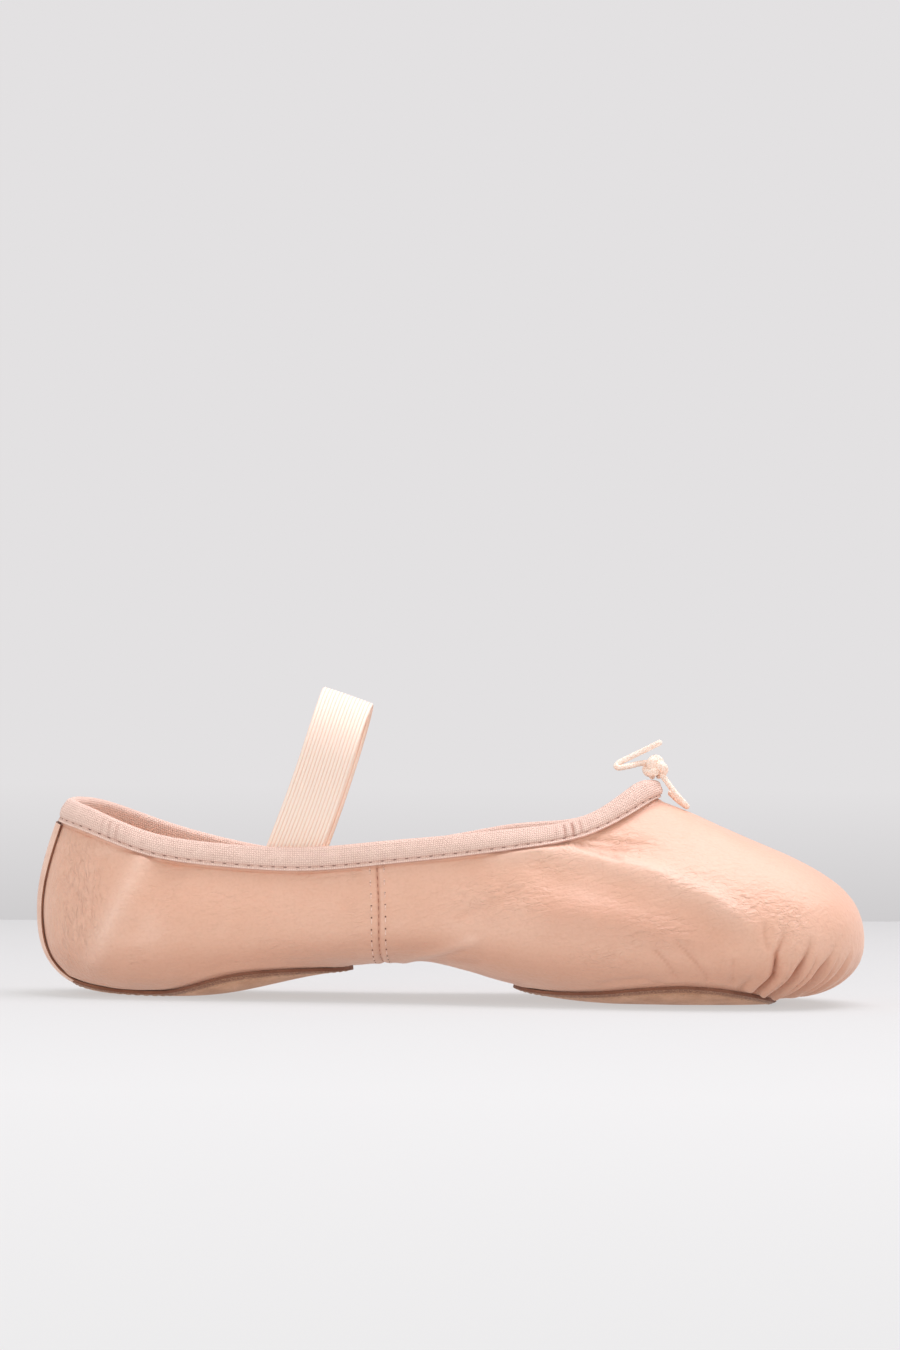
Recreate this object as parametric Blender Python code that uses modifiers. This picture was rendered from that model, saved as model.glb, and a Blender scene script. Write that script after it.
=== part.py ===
"""Split-sole ballet slipper: a soft leather upper on two suede patches.

Metres, +Z up, +X towards the toe. The floor is z = 0 and the origin is at the middle of the length.
Every piece is laid on one surface, the last: sections that fan out from a line under the foot, run
round the side and end at the collar. A place on it is (turn, level). Turn counts sections from the
toe (0) along the +Y side to the heel and back along the -Y side. Level is 0 to 1 under the foot,
1 to 2 up the side to the tape's lower edge, and 2 to 3 up to the leather's top edge.
"""

import math

import bmesh
import bpy
import numpy as np
from mathutils import Vector

# Driving sizes of the shoe
LENGTH = 0.240
BALL_WIDTH = 0.079
WAIST_WIDTH = 0.054
HEEL_WIDTH = 0.0555
COLLAR_WIDTH = 0.047
# Heights above the flat of the last, up to the tape's lower edge
THROAT_HEIGHT = 0.0575
SIDE_HEIGHT = 0.0370
HEEL_HEIGHT = 0.0480
ARCH_LIFT = 0.0088
# How far the soft collar waves on the +Y side
COLLAR_WAVE = 0.0025

# Thickness of each material, and the clearance between two pieces
LEATHER = 0.0012
SUEDE = 0.0012
INSOLE = 0.0008
TAPE = 0.0008
GAP = 0.0003

# Tape round the collar, and how far a patch laps the upper's opening
TAPE_HEIGHT = 0.0072
LASTING_MARGIN = 0.0060

# Elastic strap, from the middle of its foot in the collar
STRAP_WIDTH = 0.0150
STRAP_THICKNESS = 0.0010
STRAP_RISE = 0.0485
STRAP_TAIL = 0.0110
STRAP_LEAN = math.radians(18.6)
STRAP_PLACE = 0.306

# Drawstring bow at the throat
CORD = 0.0017
KNOT_SIZE = (0.0074, 0.0066, 0.0070)

LEVEL_OF_LAST = SUEDE + GAP
HEEL_X = -LENGTH / 2 + LEVEL_OF_LAST
LAST_LENGTH = LENGTH - LEVEL_OF_LAST
TURNED_EDGE = LEATHER / 2 + GAP
BAND_HEIGHT = TAPE_HEIGHT - TURNED_EDGE - TAPE

# Each row is a section of the last. It names the width and the height that its shares follow, and
# the columns of faces up to the next row. seat, wide_x and edge_x are shares of the last's length
# from the heel; under is a share of the arch's lift; flat, wide_y and patch are shares of the row's
# width; wide_z, lift, reach and edge_z are shares of the row's height; edge_y is a share of the
# collar's width; tape is a share of the tape's height; wave is a share of the collar's wave. square
# is the power of the turn under the foot. rise and band are the slopes of the leather and of the
# tape at the collar, in degrees. A patch under zero leaves the arch bare.
SECTION_COLUMNS = (
    "seat", "under", "flat", "wide_x", "wide_y", "wide_z", "square", "lift", "reach",
    "edge_x", "edge_y", "edge_z", "rise", "band", "tape", "patch", "wave",
)  # fmt: skip
SECTIONS = (
    # seat under flat wide_x wide_y wide_z square lift reach, edge_x edge_y edge_z rise band tape patch wave
    ("toe", BALL_WIDTH, THROAT_HEIGHT, 4, 0.857, 0.00, 0.025, 1.000, 0.000, 0.304, 2.45, 0.322, 0.748,
     0.747, 0.000, 1.000, 23.7, 88, 0.62, 0.114, 0.0),
    ("toe corner", BALL_WIDTH, THROAT_HEIGHT, 4, 0.851, 0.00, 0.038, 0.968, 0.291, 0.304, 2.40, 0.300, 0.640,
     0.742, 0.098, 0.992, 24, 84, 0.72, 0.150, 0.0),
    ("toe side", BALL_WIDTH, THROAT_HEIGHT, 3, 0.832, 0.00, 0.100, 0.897, 0.437, 0.304, 2.30, 0.270, 0.430,
     0.729, 0.204, 0.957, 28, 76, 0.95, 0.310, 0.0),
    ("ball", BALL_WIDTH, THROAT_HEIGHT, 3, 0.774, 0.00, 0.150, 0.790, 0.500, 0.313, 2.30, 0.252, 0.310,
     0.704, 0.332, 0.888, 38, 64, 1.00, 0.418, -0.2),
    ("instep", BALL_WIDTH, THROAT_HEIGHT, 3, 0.690, 0.01, 0.127, 0.681, 0.475, 0.322, 2.30, 0.226, 0.180,
     0.655, 0.447, 0.795, 55, 54, 1.00, 0.340, -0.2),
    ("front of arch", WAIST_WIDTH, SIDE_HEIGHT, 3, 0.589, 0.33, 0.110, 0.581, 0.602, 0.514, 2.20, 0.300, 0.190,
     0.581, 0.502, 1.146, 70, 66, 1.00, 0.167, 0.1),
    ("arch", WAIST_WIDTH, SIDE_HEIGHT, 2, 0.489, 0.98, 0.074, 0.489, 0.519, 0.554, 2.20, 0.216, 0.135,
     0.497, 0.502, 1.073, 78, 76, 1.00, -0.400, -0.4),
    ("side seam", WAIST_WIDTH, SIDE_HEIGHT, 2, 0.419, 1.00, 0.074, 0.413, 0.493, 0.554, 2.20, 0.190, 0.135,
     0.409, 0.494, 1.008, 82, 83, 1.00, -0.300, -1.0),
    ("back of arch", WAIST_WIDTH, SIDE_HEIGHT, 3, 0.337, 0.73, 0.093, 0.321, 0.496, 0.514, 2.20, 0.190, 0.135,
     0.317, 0.489, 0.957, 80, 82, 1.00, 0.292, -1.0),
    ("heel breast", HEEL_WIDTH, SIDE_HEIGHT, 3, 0.245, 0.16, 0.126, 0.220, 0.500, 0.473, 2.20, 0.216, 0.162,
     0.216, 0.481, 0.986, 76, 80, 1.00, 0.394, 0.0),
    ("heel side", HEEL_WIDTH, HEEL_HEIGHT, 3, 0.178, 0.00, 0.144, 0.128, 0.486, 0.365, 2.30, 0.190, 0.170,
     0.132, 0.438, 0.819, 74, 76, 1.05, 0.265, 1.0),
    ("heel corner", HEEL_WIDTH, HEEL_HEIGHT, 3, 0.145, 0.00, 0.108, 0.040, 0.351, 0.406, 2.55, 0.190, 0.160,
     0.058, 0.300, 0.945, 72, 72, 1.10, 0.306, 0.8),
    ("heel", HEEL_WIDTH, HEEL_HEIGHT, 3, 0.136, 0.00, 0.108, 0.000, 0.000, 0.502, 2.70, 0.167, 0.146,
     0.022, 0.000, 1.000, 71, 68, 1.10, 0.432, 0.0),
)  # fmt: skip
HEEL_TURN = len(SECTIONS) - 1
TURNS = 2 * HEEL_TURN
TAIL_TURN = 1 / 3
# Rows of faces under the foot, up the side, on the tape, on a patch and round the strap
ROWS_UNDER, ROWS_SIDE, ROWS_BAND, ROWS_PATCH = 5, 6, 2, 3
ROWS_STRAP_SIDE, ROWS_STRAP_BEND = 4, 12
# No even column stands nearer than this to a column at the end of a patch or an opening, in turns
CLOSEST_TURNS = 0.12
HALVINGS = 30
# Points along a strand: fine steps between two of its route's points, then their spacing in diameters
STRAND_STEPS, STRAND_SPACING = 16, 1.5

# The bow's strands, from the middle of the knot, in cord diameters: a free end that folds back
# behind the knot, and a loop that hangs in front of it on the vamp
BACK_END = ((-2.6, -0.4, 0.6), (-4.6, -1.4, 0.1), (-6.4, -2.0, -0.2), (-6.6, -1.2, 0.4), (-4.0, -0.7, 1.8),
            (-1.2, -0.4, 3.2), (1.1, -0.2, 4.4))  # fmt: skip
FRONT_LOOP = ((1.9, -0.8, -2.3), (3.1, -1.3, -3.9), (4.5, -1.6, -5.5), (5.5, -1.0, -6.6), (5.2, 0.3, -6.5),
              (3.9, 1.0, -5.6), (2.3, 0.9, -4.1))  # fmt: skip

COLOURS = {
    "leather": (0.76, 0.45, 0.33),
    "suede": (0.37, 0.18, 0.10),
    "canvas": (0.86, 0.60, 0.50),
    "cotton": (0.80, 0.66, 0.56),
    "elastic": (0.90, 0.75, 0.63),
    "cord": (0.91, 0.72, 0.60),
}


def section_shares():
    """One row of lengths for each section, round the whole shoe: the -Y side mirrors the +Y side."""
    rows = []
    for _, width, height, _, *shares in SECTIONS:
        row = dict(zip(SECTION_COLUMNS, shares))
        for name in ("seat", "wide_x", "edge_x"):
            row[name] = HEEL_X + row[name] * LAST_LENGTH
        for name in ("wide_z", "edge_z"):
            row[name] = LEVEL_OF_LAST + row[name] * height
        for name in ("lift", "reach"):
            row[name] *= height
        for name in ("flat", "wide_y", "patch"):
            row[name] *= width
        row["under"] = LEVEL_OF_LAST + row["under"] * ARCH_LIFT
        row["edge_y"] *= COLLAR_WIDTH
        row["wave"] *= COLLAR_WAVE
        # The square keeps its sign, so that a patch's rounded end crosses zero evenly
        row["patch"] = math.copysign(row["patch"] ** 2, row["patch"])
        rows.append(row)
    mirrored = [
        dict(row, wide_y=-row["wide_y"], edge_y=-row["edge_y"], wave=0.0) for row in rows[-2:0:-1]
    ]
    return np.array([[row[name] for name in SECTION_COLUMNS] for row in rows + mirrored])


def closed_slopes(rows):
    """The slopes at the rows of a closed cubic spline, so that the last has no kinks."""
    count = len(rows)
    weights = 4 * np.eye(count) + np.roll(np.eye(count), 1, 0) + np.roll(np.eye(count), -1, 0)
    return np.linalg.solve(weights, 3 * (np.roll(rows, -1, 0) - np.roll(rows, 1, 0)))


ROWS = section_shares()
SLOPES = closed_slopes(ROWS)


def section(turn):
    """The section at any turn, as a dictionary of lengths."""
    turn %= TURNS
    at = int(turn)
    part = turn - at
    after = (at + 1) % TURNS
    values = (
        (2 * part**3 - 3 * part**2 + 1) * ROWS[at]
        + (part**3 - 2 * part**2 + part) * SLOPES[at]
        + (3 * part**2 - 2 * part**3) * ROWS[after]
        + (part**3 - part**2) * SLOPES[after]
    )
    found = dict(zip(SECTION_COLUMNS, map(float, values)))
    found["under"] = max(found["under"], LEVEL_OF_LAST)
    return found


def last_point(turn, level):
    """The point of the leather's outer face at this turn and level."""
    cut = section(turn)
    wide = Vector((cut["wide_x"], cut["wide_y"], cut["wide_z"]))
    edge = Vector((cut["edge_x"], cut["edge_y"], cut["edge_z"] + cut["wave"]))
    if level <= 1:
        span = math.hypot(wide.x - cut["seat"], wide.y)
        out = span * math.sin(level * math.pi / 2)
        curved = max(0.0, out - cut["flat"]) / (span - cut["flat"])
        height = 1 - max(0.0, 1 - curved ** cut["square"]) ** (1 / cut["square"])
        share = out / span
        return Vector((
            cut["seat"] + (wide.x - cut["seat"]) * share,
            wide.y * share,
            cut["under"] + (wide.z - cut["under"]) * height,
        ))
    inward = Vector((edge.x - wide.x, edge.y - wide.y, 0)).normalized()
    if level <= 2:
        rise = math.radians(cut["rise"])
        over = wide + Vector((0, 0, cut["lift"]))
        below = edge - cut["reach"] * (inward * math.cos(rise) + Vector((0, 0, math.sin(rise))))
        part = level - 1
        return (
            (1 - part) ** 3 * wide
            + 3 * (1 - part) ** 2 * part * over
            + 3 * (1 - part) * part**2 * below
            + part**3 * edge
        )
    band = math.radians(cut["band"])
    tall = (level - 2) * BAND_HEIGHT * cut["tape"]
    return edge + tall * (inward * math.cos(band) + Vector((0, 0, math.sin(band))))


def last_normal(turn, level):
    """The outward direction of the last there. The tape's band keeps its own slope at its foot."""
    step = 0.02
    low = level if 2 <= level < 2 + step else max(step, level - step)
    high = level if level > 3 - step else max(3 * step, level + step)
    along = last_point(turn + step, high) - last_point(turn - step, high)
    up = last_point(turn, high) - last_point(turn, low)
    outward = along.cross(up)
    if level == 0:
        outward.y = 0
    return outward.normalized()


def offset_point(turn, level, out):
    """A point this far outside the leather's outer face, or inside it where out is negative."""
    return last_point(turn, level) + out * last_normal(turn, level)


def turn_of(name):
    """The turn of a named section, on the +Y side."""
    return [row[0] for row in SECTIONS].index(name)


def level_at(turn, distance):
    """The level under the foot at this distance from the seat line, seen from above."""
    cut = section(turn)
    span = math.hypot(cut["wide_x"] - cut["seat"], cut["wide_y"])
    return 2 / math.pi * math.asin(min(1.0, max(0.0, distance) / span))


def patch_reach(turn):
    """How far the suede reaches from the seat line, or zero at the bare arch."""
    return math.sqrt(max(0.0, section(turn)["patch"]))


def turn_where_reach_ends(covered, bare, reach):
    """The turn between these two sections at which the suede reaches no further than this."""
    inside, outside = turn_of(covered), turn_of(bare)
    for _ in range(HALVINGS):
        middle = (inside + outside) / 2
        if patch_reach(middle) > reach:
            inside = middle
        else:
            outside = middle
    return outside


def shared_columns():
    """The turns of the columns, which all pieces share so that their facets line up.

    Beside the even ones, a column stands at each end of the patches and of the upper's openings.
    """
    ends = []
    for reach in (0, LASTING_MARGIN):
        ends.append(turn_where_reach_ends("instep", "arch", reach))
        ends.append(turn_where_reach_ends("heel breast", "side seam", reach))
    ends += [TURNS - turn for turn in ends]
    steps = [row[3] for row in SECTIONS[:-1]]
    even = [turn + step / count for turn, count in enumerate(steps) for step in range(count)]
    even = even + [HEEL_TURN] + [TURNS - turn for turn in even]
    kept = [turn for turn in even if min(abs(turn - end) for end in ends) > CLOSEST_TURNS]
    return sorted(kept + ends)


def turns_between(first, last):
    """The shared columns from one turn to another."""
    return [turn for turn in shared_columns() if first <= turn <= last]


def material(name, roughness):
    """A plain material in the colour of this name."""
    made = bpy.data.materials.new(name)
    made.use_nodes = True
    shader = made.node_tree.nodes["Principled BSDF"]
    shader.inputs["Base Color"].default_value = (*COLOURS[name], 1)
    shader.inputs["Roughness"].default_value = roughness
    shader.inputs["Metallic"].default_value = 0.0
    return made


def add_object(name, mesh, surface, collection):
    """Puts a finished mesh in the collection, smooth, in this material."""
    mesh.materials.append(surface)
    mesh.shade_smooth()
    made = bpy.data.objects.new(name, mesh)
    collection.objects.link(made)
    return made


def sheet(name, grids, surface, thickness, outwards, collection):
    """A shell from grids of points, column by column: an open surface, then a Solidify."""
    shape = bmesh.new()
    for columns in grids:
        grid = [[shape.verts.new(point) for point in column] for column in columns]
        for here, there in zip(grid, grid[1:]):
            for low in range(len(here) - 1):
                shape.faces.new((here[low], there[low], there[low + 1], here[low + 1]))
    # The two sides meet on the seat line, where the feet of their columns coincide
    bmesh.ops.remove_doubles(shape, verts=shape.verts, dist=GAP / 100)
    mesh = bpy.data.meshes.new(name)
    shape.to_mesh(mesh)
    shape.free()
    made = add_object(name, mesh, surface, collection)
    solid = made.modifiers.new("thickness", "SOLIDIFY")
    solid.thickness = thickness
    solid.offset = 1 if outwards else -1
    solid.use_even_offset = True
    return made


def lap_levels(turn):
    """The levels of the opening's edge in the upper and of the suede's edge that laps it."""
    reach = patch_reach(turn)
    return level_at(turn, reach - LASTING_MARGIN), level_at(turn, reach)


def bare_levels(turn):
    """The levels of the leather above the suede's edge, up to the tape."""
    edge = lap_levels(turn)[1]
    under = [edge + (1 - edge) * step / ROWS_UNDER for step in range(1, ROWS_UNDER)]
    return under + [1 + step / ROWS_SIDE for step in range(ROWS_SIDE)]


def upper_levels(turn):
    """The levels of the leather, from its opening under the foot to its top edge at the collar."""
    return [*lap_levels(turn), *bare_levels(turn), *(2 + step / ROWS_BAND for step in range(ROWS_BAND + 1))]


def make_upper(collection):
    """The leather and its lining: open at the collar and over each patch, closed under the arch."""
    columns = [[last_point(turn, level) for level in upper_levels(turn)] for turn in shared_columns()]
    return sheet("upper", [columns], material("leather", 0.45), LEATHER, False, collection)


def tape_column(turn):
    """The folded tape: up the outside, round the leather's top edge and down the inside."""
    foot, top = 2 + GAP / BAND_HEIGHT, 3
    outside = [offset_point(turn, level, GAP) for level in (foot, top)]
    inside = [offset_point(turn, level, -LEATHER - GAP) for level in (top, foot)]
    middle = (outside[-1] + inside[0]) / 2
    across = (outside[-1] - inside[0]) / 2
    up = (last_point(turn, top) - last_point(turn, foot)).normalized() * TURNED_EDGE
    angles = [step * math.pi / 4 for step in (1, 2, 3)]
    return [*outside, *(middle + across * math.cos(angle) + up * math.sin(angle) for angle in angles), *inside]


def make_collar_tape(collection):
    """The canvas tape that binds the collar and holds the drawstring."""
    columns = [tape_column(turn) for turn in shared_columns()]
    return sheet("collar_tape", [columns], material("canvas", 0.85), TAPE, True, collection)


def patch_levels(turn):
    """The levels of a patch, from the seat line to its edge."""
    foot, edge = lap_levels(turn)
    return [*(foot * step / ROWS_PATCH for step in range(ROWS_PATCH)), foot, edge]


def forefoot_turns():
    """The columns of the forefoot's patch, from its end on the -Y side round the toe."""
    side = turns_between(0, turn_where_reach_ends("instep", "arch", 0))
    return [-turn for turn in reversed(side[1:])] + side


def heel_turns():
    """The columns of the heel's patch, from its end on the +Y side round the heel."""
    side = turns_between(turn_where_reach_ends("heel breast", "side seam", 0), HEEL_TURN)
    return side + [TURNS - turn for turn in reversed(side[:-1])]


def patch_grid(turns, out):
    """The grid of a patch this far off the leather's outer face."""
    return [[offset_point(turn, level, out) for level in patch_levels(turn)] for turn in turns]


def tail_grid(out):
    """The patch's narrow tail up the heel's back, from the patch's edge to the tape."""
    top = 2 - GAP / (HEEL_HEIGHT / 2)
    turns = (HEEL_TURN - TAIL_TURN, HEEL_TURN, HEEL_TURN + TAIL_TURN)
    return [
        [offset_point(turn, level, out) for level in (lap_levels(turn)[1], *bare_levels(turn), top)]
        for turn in turns
    ]


def make_soles(collection):
    """The two suede patches under the upper. The heel's one ends in a tail up the heel's back."""
    suede = material("suede", 0.9)
    sheet("forefoot_sole", [patch_grid(forefoot_turns(), GAP)], suede, SUEDE, True, collection)
    sheet("heel_sole", [patch_grid(heel_turns(), GAP), tail_grid(GAP)], suede, SUEDE, True, collection)


def make_insoles(collection):
    """The two cotton pads that cover the upper's openings from inside."""
    cotton = material("cotton", 0.9)
    inside = -LEATHER - GAP
    for name, turns in (("forefoot_insole", forefoot_turns()), ("heel_insole", heel_turns())):
        sheet(name, [patch_grid(turns, inside)], cotton, INSOLE, False, collection)


def turn_beside(place, level):
    """The turn on the +Y side at this share of the last's length from the heel, at this level."""
    front, back = 0.0, float(HEEL_TURN)
    for _ in range(HALVINGS):
        middle = (front + back) / 2
        if last_point(middle, level).x > HEEL_X + place * LAST_LENGTH:
            front = middle
        else:
            back = middle
    return front


def make_strap(collection):
    """The elastic: a band in an upside-down U, sewn inside the collar, leaning to the toe."""
    turn = turn_beside(STRAP_PLACE, 3)
    tape_inside = offset_point(turn, 3, -LEATHER - GAP - TAPE)
    top_of_tape = last_point(turn, 3).z + TURNED_EDGE + TAPE
    half_span = tape_inside.y - 2 * GAP
    foot = Vector((HEEL_X + STRAP_PLACE * LAST_LENGTH, 0, top_of_tape))
    along = Vector((math.sin(STRAP_LEAN), 0, math.cos(STRAP_LEAN)))
    across = Vector((math.cos(STRAP_LEAN), 0, -math.sin(STRAP_LEAN))) * STRAP_WIDTH / 2
    straight = STRAP_RISE - half_span
    step = (straight + STRAP_TAIL) / ROWS_STRAP_SIDE
    path = [(-half_span, -STRAP_TAIL + row * step) for row in range(ROWS_STRAP_SIDE)]
    bend = [math.pi * row / ROWS_STRAP_BEND for row in range(ROWS_STRAP_BEND + 1)]
    path += [(-half_span * math.cos(angle), straight + half_span * math.sin(angle)) for angle in bend]
    path += [(-side, height) for side, height in reversed(path[:ROWS_STRAP_SIDE])]
    middle = [foot + Vector((0, side, 0)) + along * height for side, height in path]
    columns = [[point - across for point in middle], [point + across for point in middle]]
    return sheet("elastic_strap", [columns], material("elastic", 0.7), STRAP_THICKNESS, False, collection)


def throat_top():
    """The middle of the tape's top edge at the throat."""
    return last_point(0, 3) + Vector((-LEATHER / 2, 0, TURNED_EDGE + TAPE))


def smooth_route(points, spacing):
    """Points along a smooth curve through these ones, about this far apart."""
    ends = [2 * points[0] - points[1], *points, 2 * points[-1] - points[-2]]
    fine = []
    for before, here, there, after in zip(ends, ends[1:], ends[2:], ends[3:]):
        for step in range(STRAND_STEPS):
            part = step / STRAND_STEPS
            fine.append(0.5 * (
                2 * here
                + part * (there - before)
                + part**2 * (2 * before - 5 * here + 4 * there - after)
                + part**3 * (3 * here - before - 3 * there + after)
            ))
    fine.append(points[-1])
    lengths = np.cumsum([0.0, *((b - a).length for a, b in zip(fine, fine[1:]))])
    count = max(2, round(lengths[-1] / spacing) + 1)
    places = [int(np.argmin(abs(lengths - want))) for want in np.linspace(0, lengths[-1], count)]
    return [fine[place] for place in places]


def make_strand(name, route, surface, collection):
    """One free strand of the drawstring, as a tube along a route in cord diameters from the knot."""
    knot = knot_middle()
    points = smooth_route([knot + Vector(point) * CORD for point in route], CORD * STRAND_SPACING)
    curve = bpy.data.curves.new(name, "CURVE")
    curve.dimensions = "3D"
    curve.bevel_depth = CORD / 2
    curve.bevel_resolution = 2
    curve.use_fill_caps = True
    line = curve.splines.new("POLY")
    line.points.add(len(points) - 1)
    for place, point in zip(line.points, points):
        place.co = (*point, 1)
    curve.materials.append(surface)
    made = bpy.data.objects.new(name, curve)
    collection.objects.link(made)
    return made


def knot_middle():
    """The middle of the knot, which sits on the tape at the throat."""
    return throat_top() + Vector((0, 0, GAP + KNOT_SIZE[2] / 2))


def make_bow(collection):
    """The drawstring's knot on the tape at the throat, its folded end and its loop."""
    cord = material("cord", 0.8)
    shape = bmesh.new()
    bmesh.ops.create_uvsphere(shape, u_segments=16, v_segments=10, radius=0.5)
    bmesh.ops.scale(shape, vec=KNOT_SIZE, verts=shape.verts)
    bmesh.ops.translate(shape, vec=knot_middle(), verts=shape.verts)
    mesh = bpy.data.meshes.new("drawstring_knot")
    shape.to_mesh(mesh)
    shape.free()
    add_object("drawstring_knot", mesh, cord, collection)
    make_strand("drawstring_end", BACK_END, cord, collection)
    make_strand("drawstring_loop", FRONT_LOOP, cord, collection)


def main():
    """Clears the scene and makes the slipper's pieces."""
    for old in list(bpy.data.objects):
        bpy.data.objects.remove(old, do_unlink=True)
    slipper = bpy.data.collections.new("ballet_slipper")
    bpy.context.scene.collection.children.link(slipper)
    make_upper(slipper)
    make_collar_tape(slipper)
    make_soles(slipper)
    make_insoles(slipper)
    make_strap(slipper)
    make_bow(slipper)


main()
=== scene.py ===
"""Dresses a split-sole ballet slipper in leather, suede, canvas tape, elastic and drawstring.

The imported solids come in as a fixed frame. Each soft piece is made again in fine mesh on the same
last, with its pleats, creases, ribs and stitches, and stands for its solid.
"""

from __future__ import annotations

import logging
import math
from collections.abc import Callable
from dataclasses import dataclass, field
from enum import Enum
from functools import partial

import bmesh
import bpy
import numpy as np
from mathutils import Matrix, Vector, noise

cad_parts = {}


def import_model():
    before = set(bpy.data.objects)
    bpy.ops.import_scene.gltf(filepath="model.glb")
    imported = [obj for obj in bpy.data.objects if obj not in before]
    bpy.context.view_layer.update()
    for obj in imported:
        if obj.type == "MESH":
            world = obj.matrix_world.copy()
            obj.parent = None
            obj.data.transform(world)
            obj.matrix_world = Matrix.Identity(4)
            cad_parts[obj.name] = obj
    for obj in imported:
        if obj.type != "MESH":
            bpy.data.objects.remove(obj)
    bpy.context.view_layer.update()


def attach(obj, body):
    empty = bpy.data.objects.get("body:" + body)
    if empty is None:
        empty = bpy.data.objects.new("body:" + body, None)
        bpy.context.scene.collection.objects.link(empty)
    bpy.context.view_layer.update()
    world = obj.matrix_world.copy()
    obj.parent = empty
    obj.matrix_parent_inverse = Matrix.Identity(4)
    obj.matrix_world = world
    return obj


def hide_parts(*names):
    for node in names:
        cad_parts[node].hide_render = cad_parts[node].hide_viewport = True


logger = logging.getLogger("ballet_slipper")
Array = np.ndarray
Maker = Callable[..., bpy.types.Node]
Route = tuple[tuple[float, float, float], ...]
MM = 0.001
# The thirteen sections from the toe to the heel. A length is a share of the size that SCALE names.
# Each starts at its seat, runs out flat at the height under, and turns up in a superellipse with
# the power square to its widest place. From there a Bezier curve with the arms lift and reach
# rises to the collar's edge, at the angle rise. The leather under the tape stands at the angle
# band, and tape is how much of it there is. Patch is how far the suede reaches, and below zero
# there is none. Wave lifts the collar. The angles are in degrees.
SHARES = {
    "seat": (0.857, 0.851, 0.832, 0.774, 0.690, 0.589, 0.489, 0.419, 0.337, 0.245, 0.178, 0.145, 0.136),
    "under": (0.00, 0.00, 0.00, 0.00, 0.01, 0.33, 0.98, 1.00, 0.73, 0.16, 0.00, 0.00, 0.00),
    "flat": (0.025, 0.038, 0.100, 0.150, 0.127, 0.110, 0.074, 0.074, 0.093, 0.126, 0.144, 0.108, 0.108),
    "wide_x": (1.000, 0.968, 0.897, 0.790, 0.681, 0.581, 0.489, 0.413, 0.321, 0.220, 0.128, 0.040, 0.000),
    "wide_y": (0.000, 0.291, 0.437, 0.500, 0.475, 0.602, 0.519, 0.493, 0.496, 0.500, 0.486, 0.351, 0.000),
    "wide_z": (0.304, 0.304, 0.304, 0.313, 0.322, 0.514, 0.554, 0.554, 0.514, 0.473, 0.365, 0.406, 0.502),
    "square": (2.45, 2.40, 2.30, 2.30, 2.30, 2.20, 2.20, 2.20, 2.20, 2.20, 2.30, 2.55, 2.70),
    "lift": (0.322, 0.300, 0.270, 0.252, 0.226, 0.300, 0.216, 0.190, 0.190, 0.216, 0.190, 0.190, 0.167),
    "reach": (0.748, 0.640, 0.430, 0.310, 0.180, 0.190, 0.135, 0.135, 0.135, 0.162, 0.170, 0.160, 0.146),
    "edge_x": (0.747, 0.742, 0.729, 0.704, 0.655, 0.581, 0.497, 0.409, 0.317, 0.216, 0.132, 0.058, 0.022),
    "edge_y": (0.000, 0.098, 0.204, 0.332, 0.447, 0.502, 0.502, 0.494, 0.489, 0.481, 0.438, 0.300, 0.000),
    "edge_z": (1.000, 0.992, 0.957, 0.888, 0.795, 1.146, 1.073, 1.008, 0.957, 0.986, 0.819, 0.945, 1.000),
    "rise": (23.7, 24, 28, 38, 55, 70, 78, 82, 80, 76, 74, 72, 71),
    "band": (88, 84, 76, 64, 54, 66, 76, 83, 82, 80, 76, 72, 68),
    "tape": (0.62, 0.72, 0.95, 1.00, 1.00, 1.00, 1.00, 1.00, 1.00, 1.00, 1.05, 1.10, 1.10),
    "patch": (0.114, 0.150, 0.310, 0.418, 0.340, 0.167, -0.400, -0.300, 0.292, 0.394, 0.265, 0.306, 0.432),
    "wave": (0.0, 0.0, 0.0, -0.2, -0.2, 0.1, -0.4, -1.0, -1.0, 0.0, 1.0, 0.8, 0.0),
}
SCALE = {
    "seat": "length", "wide_x": "length", "edge_x": "length",
    "flat": "width", "wide_y": "width", "patch": "width",
    "wide_z": "height", "edge_z": "height", "lift": "height", "reach": "height",
}
COLUMNS = tuple(SHARES)
TURNS = 24
HEEL = 12
# Where the drawstring gathers the tape and the leather under it
GATHER_TURN = 4.12
# The level at which the leather and the heel's tail have gone under the tape
TUCK_LEVEL = 1.985


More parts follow.
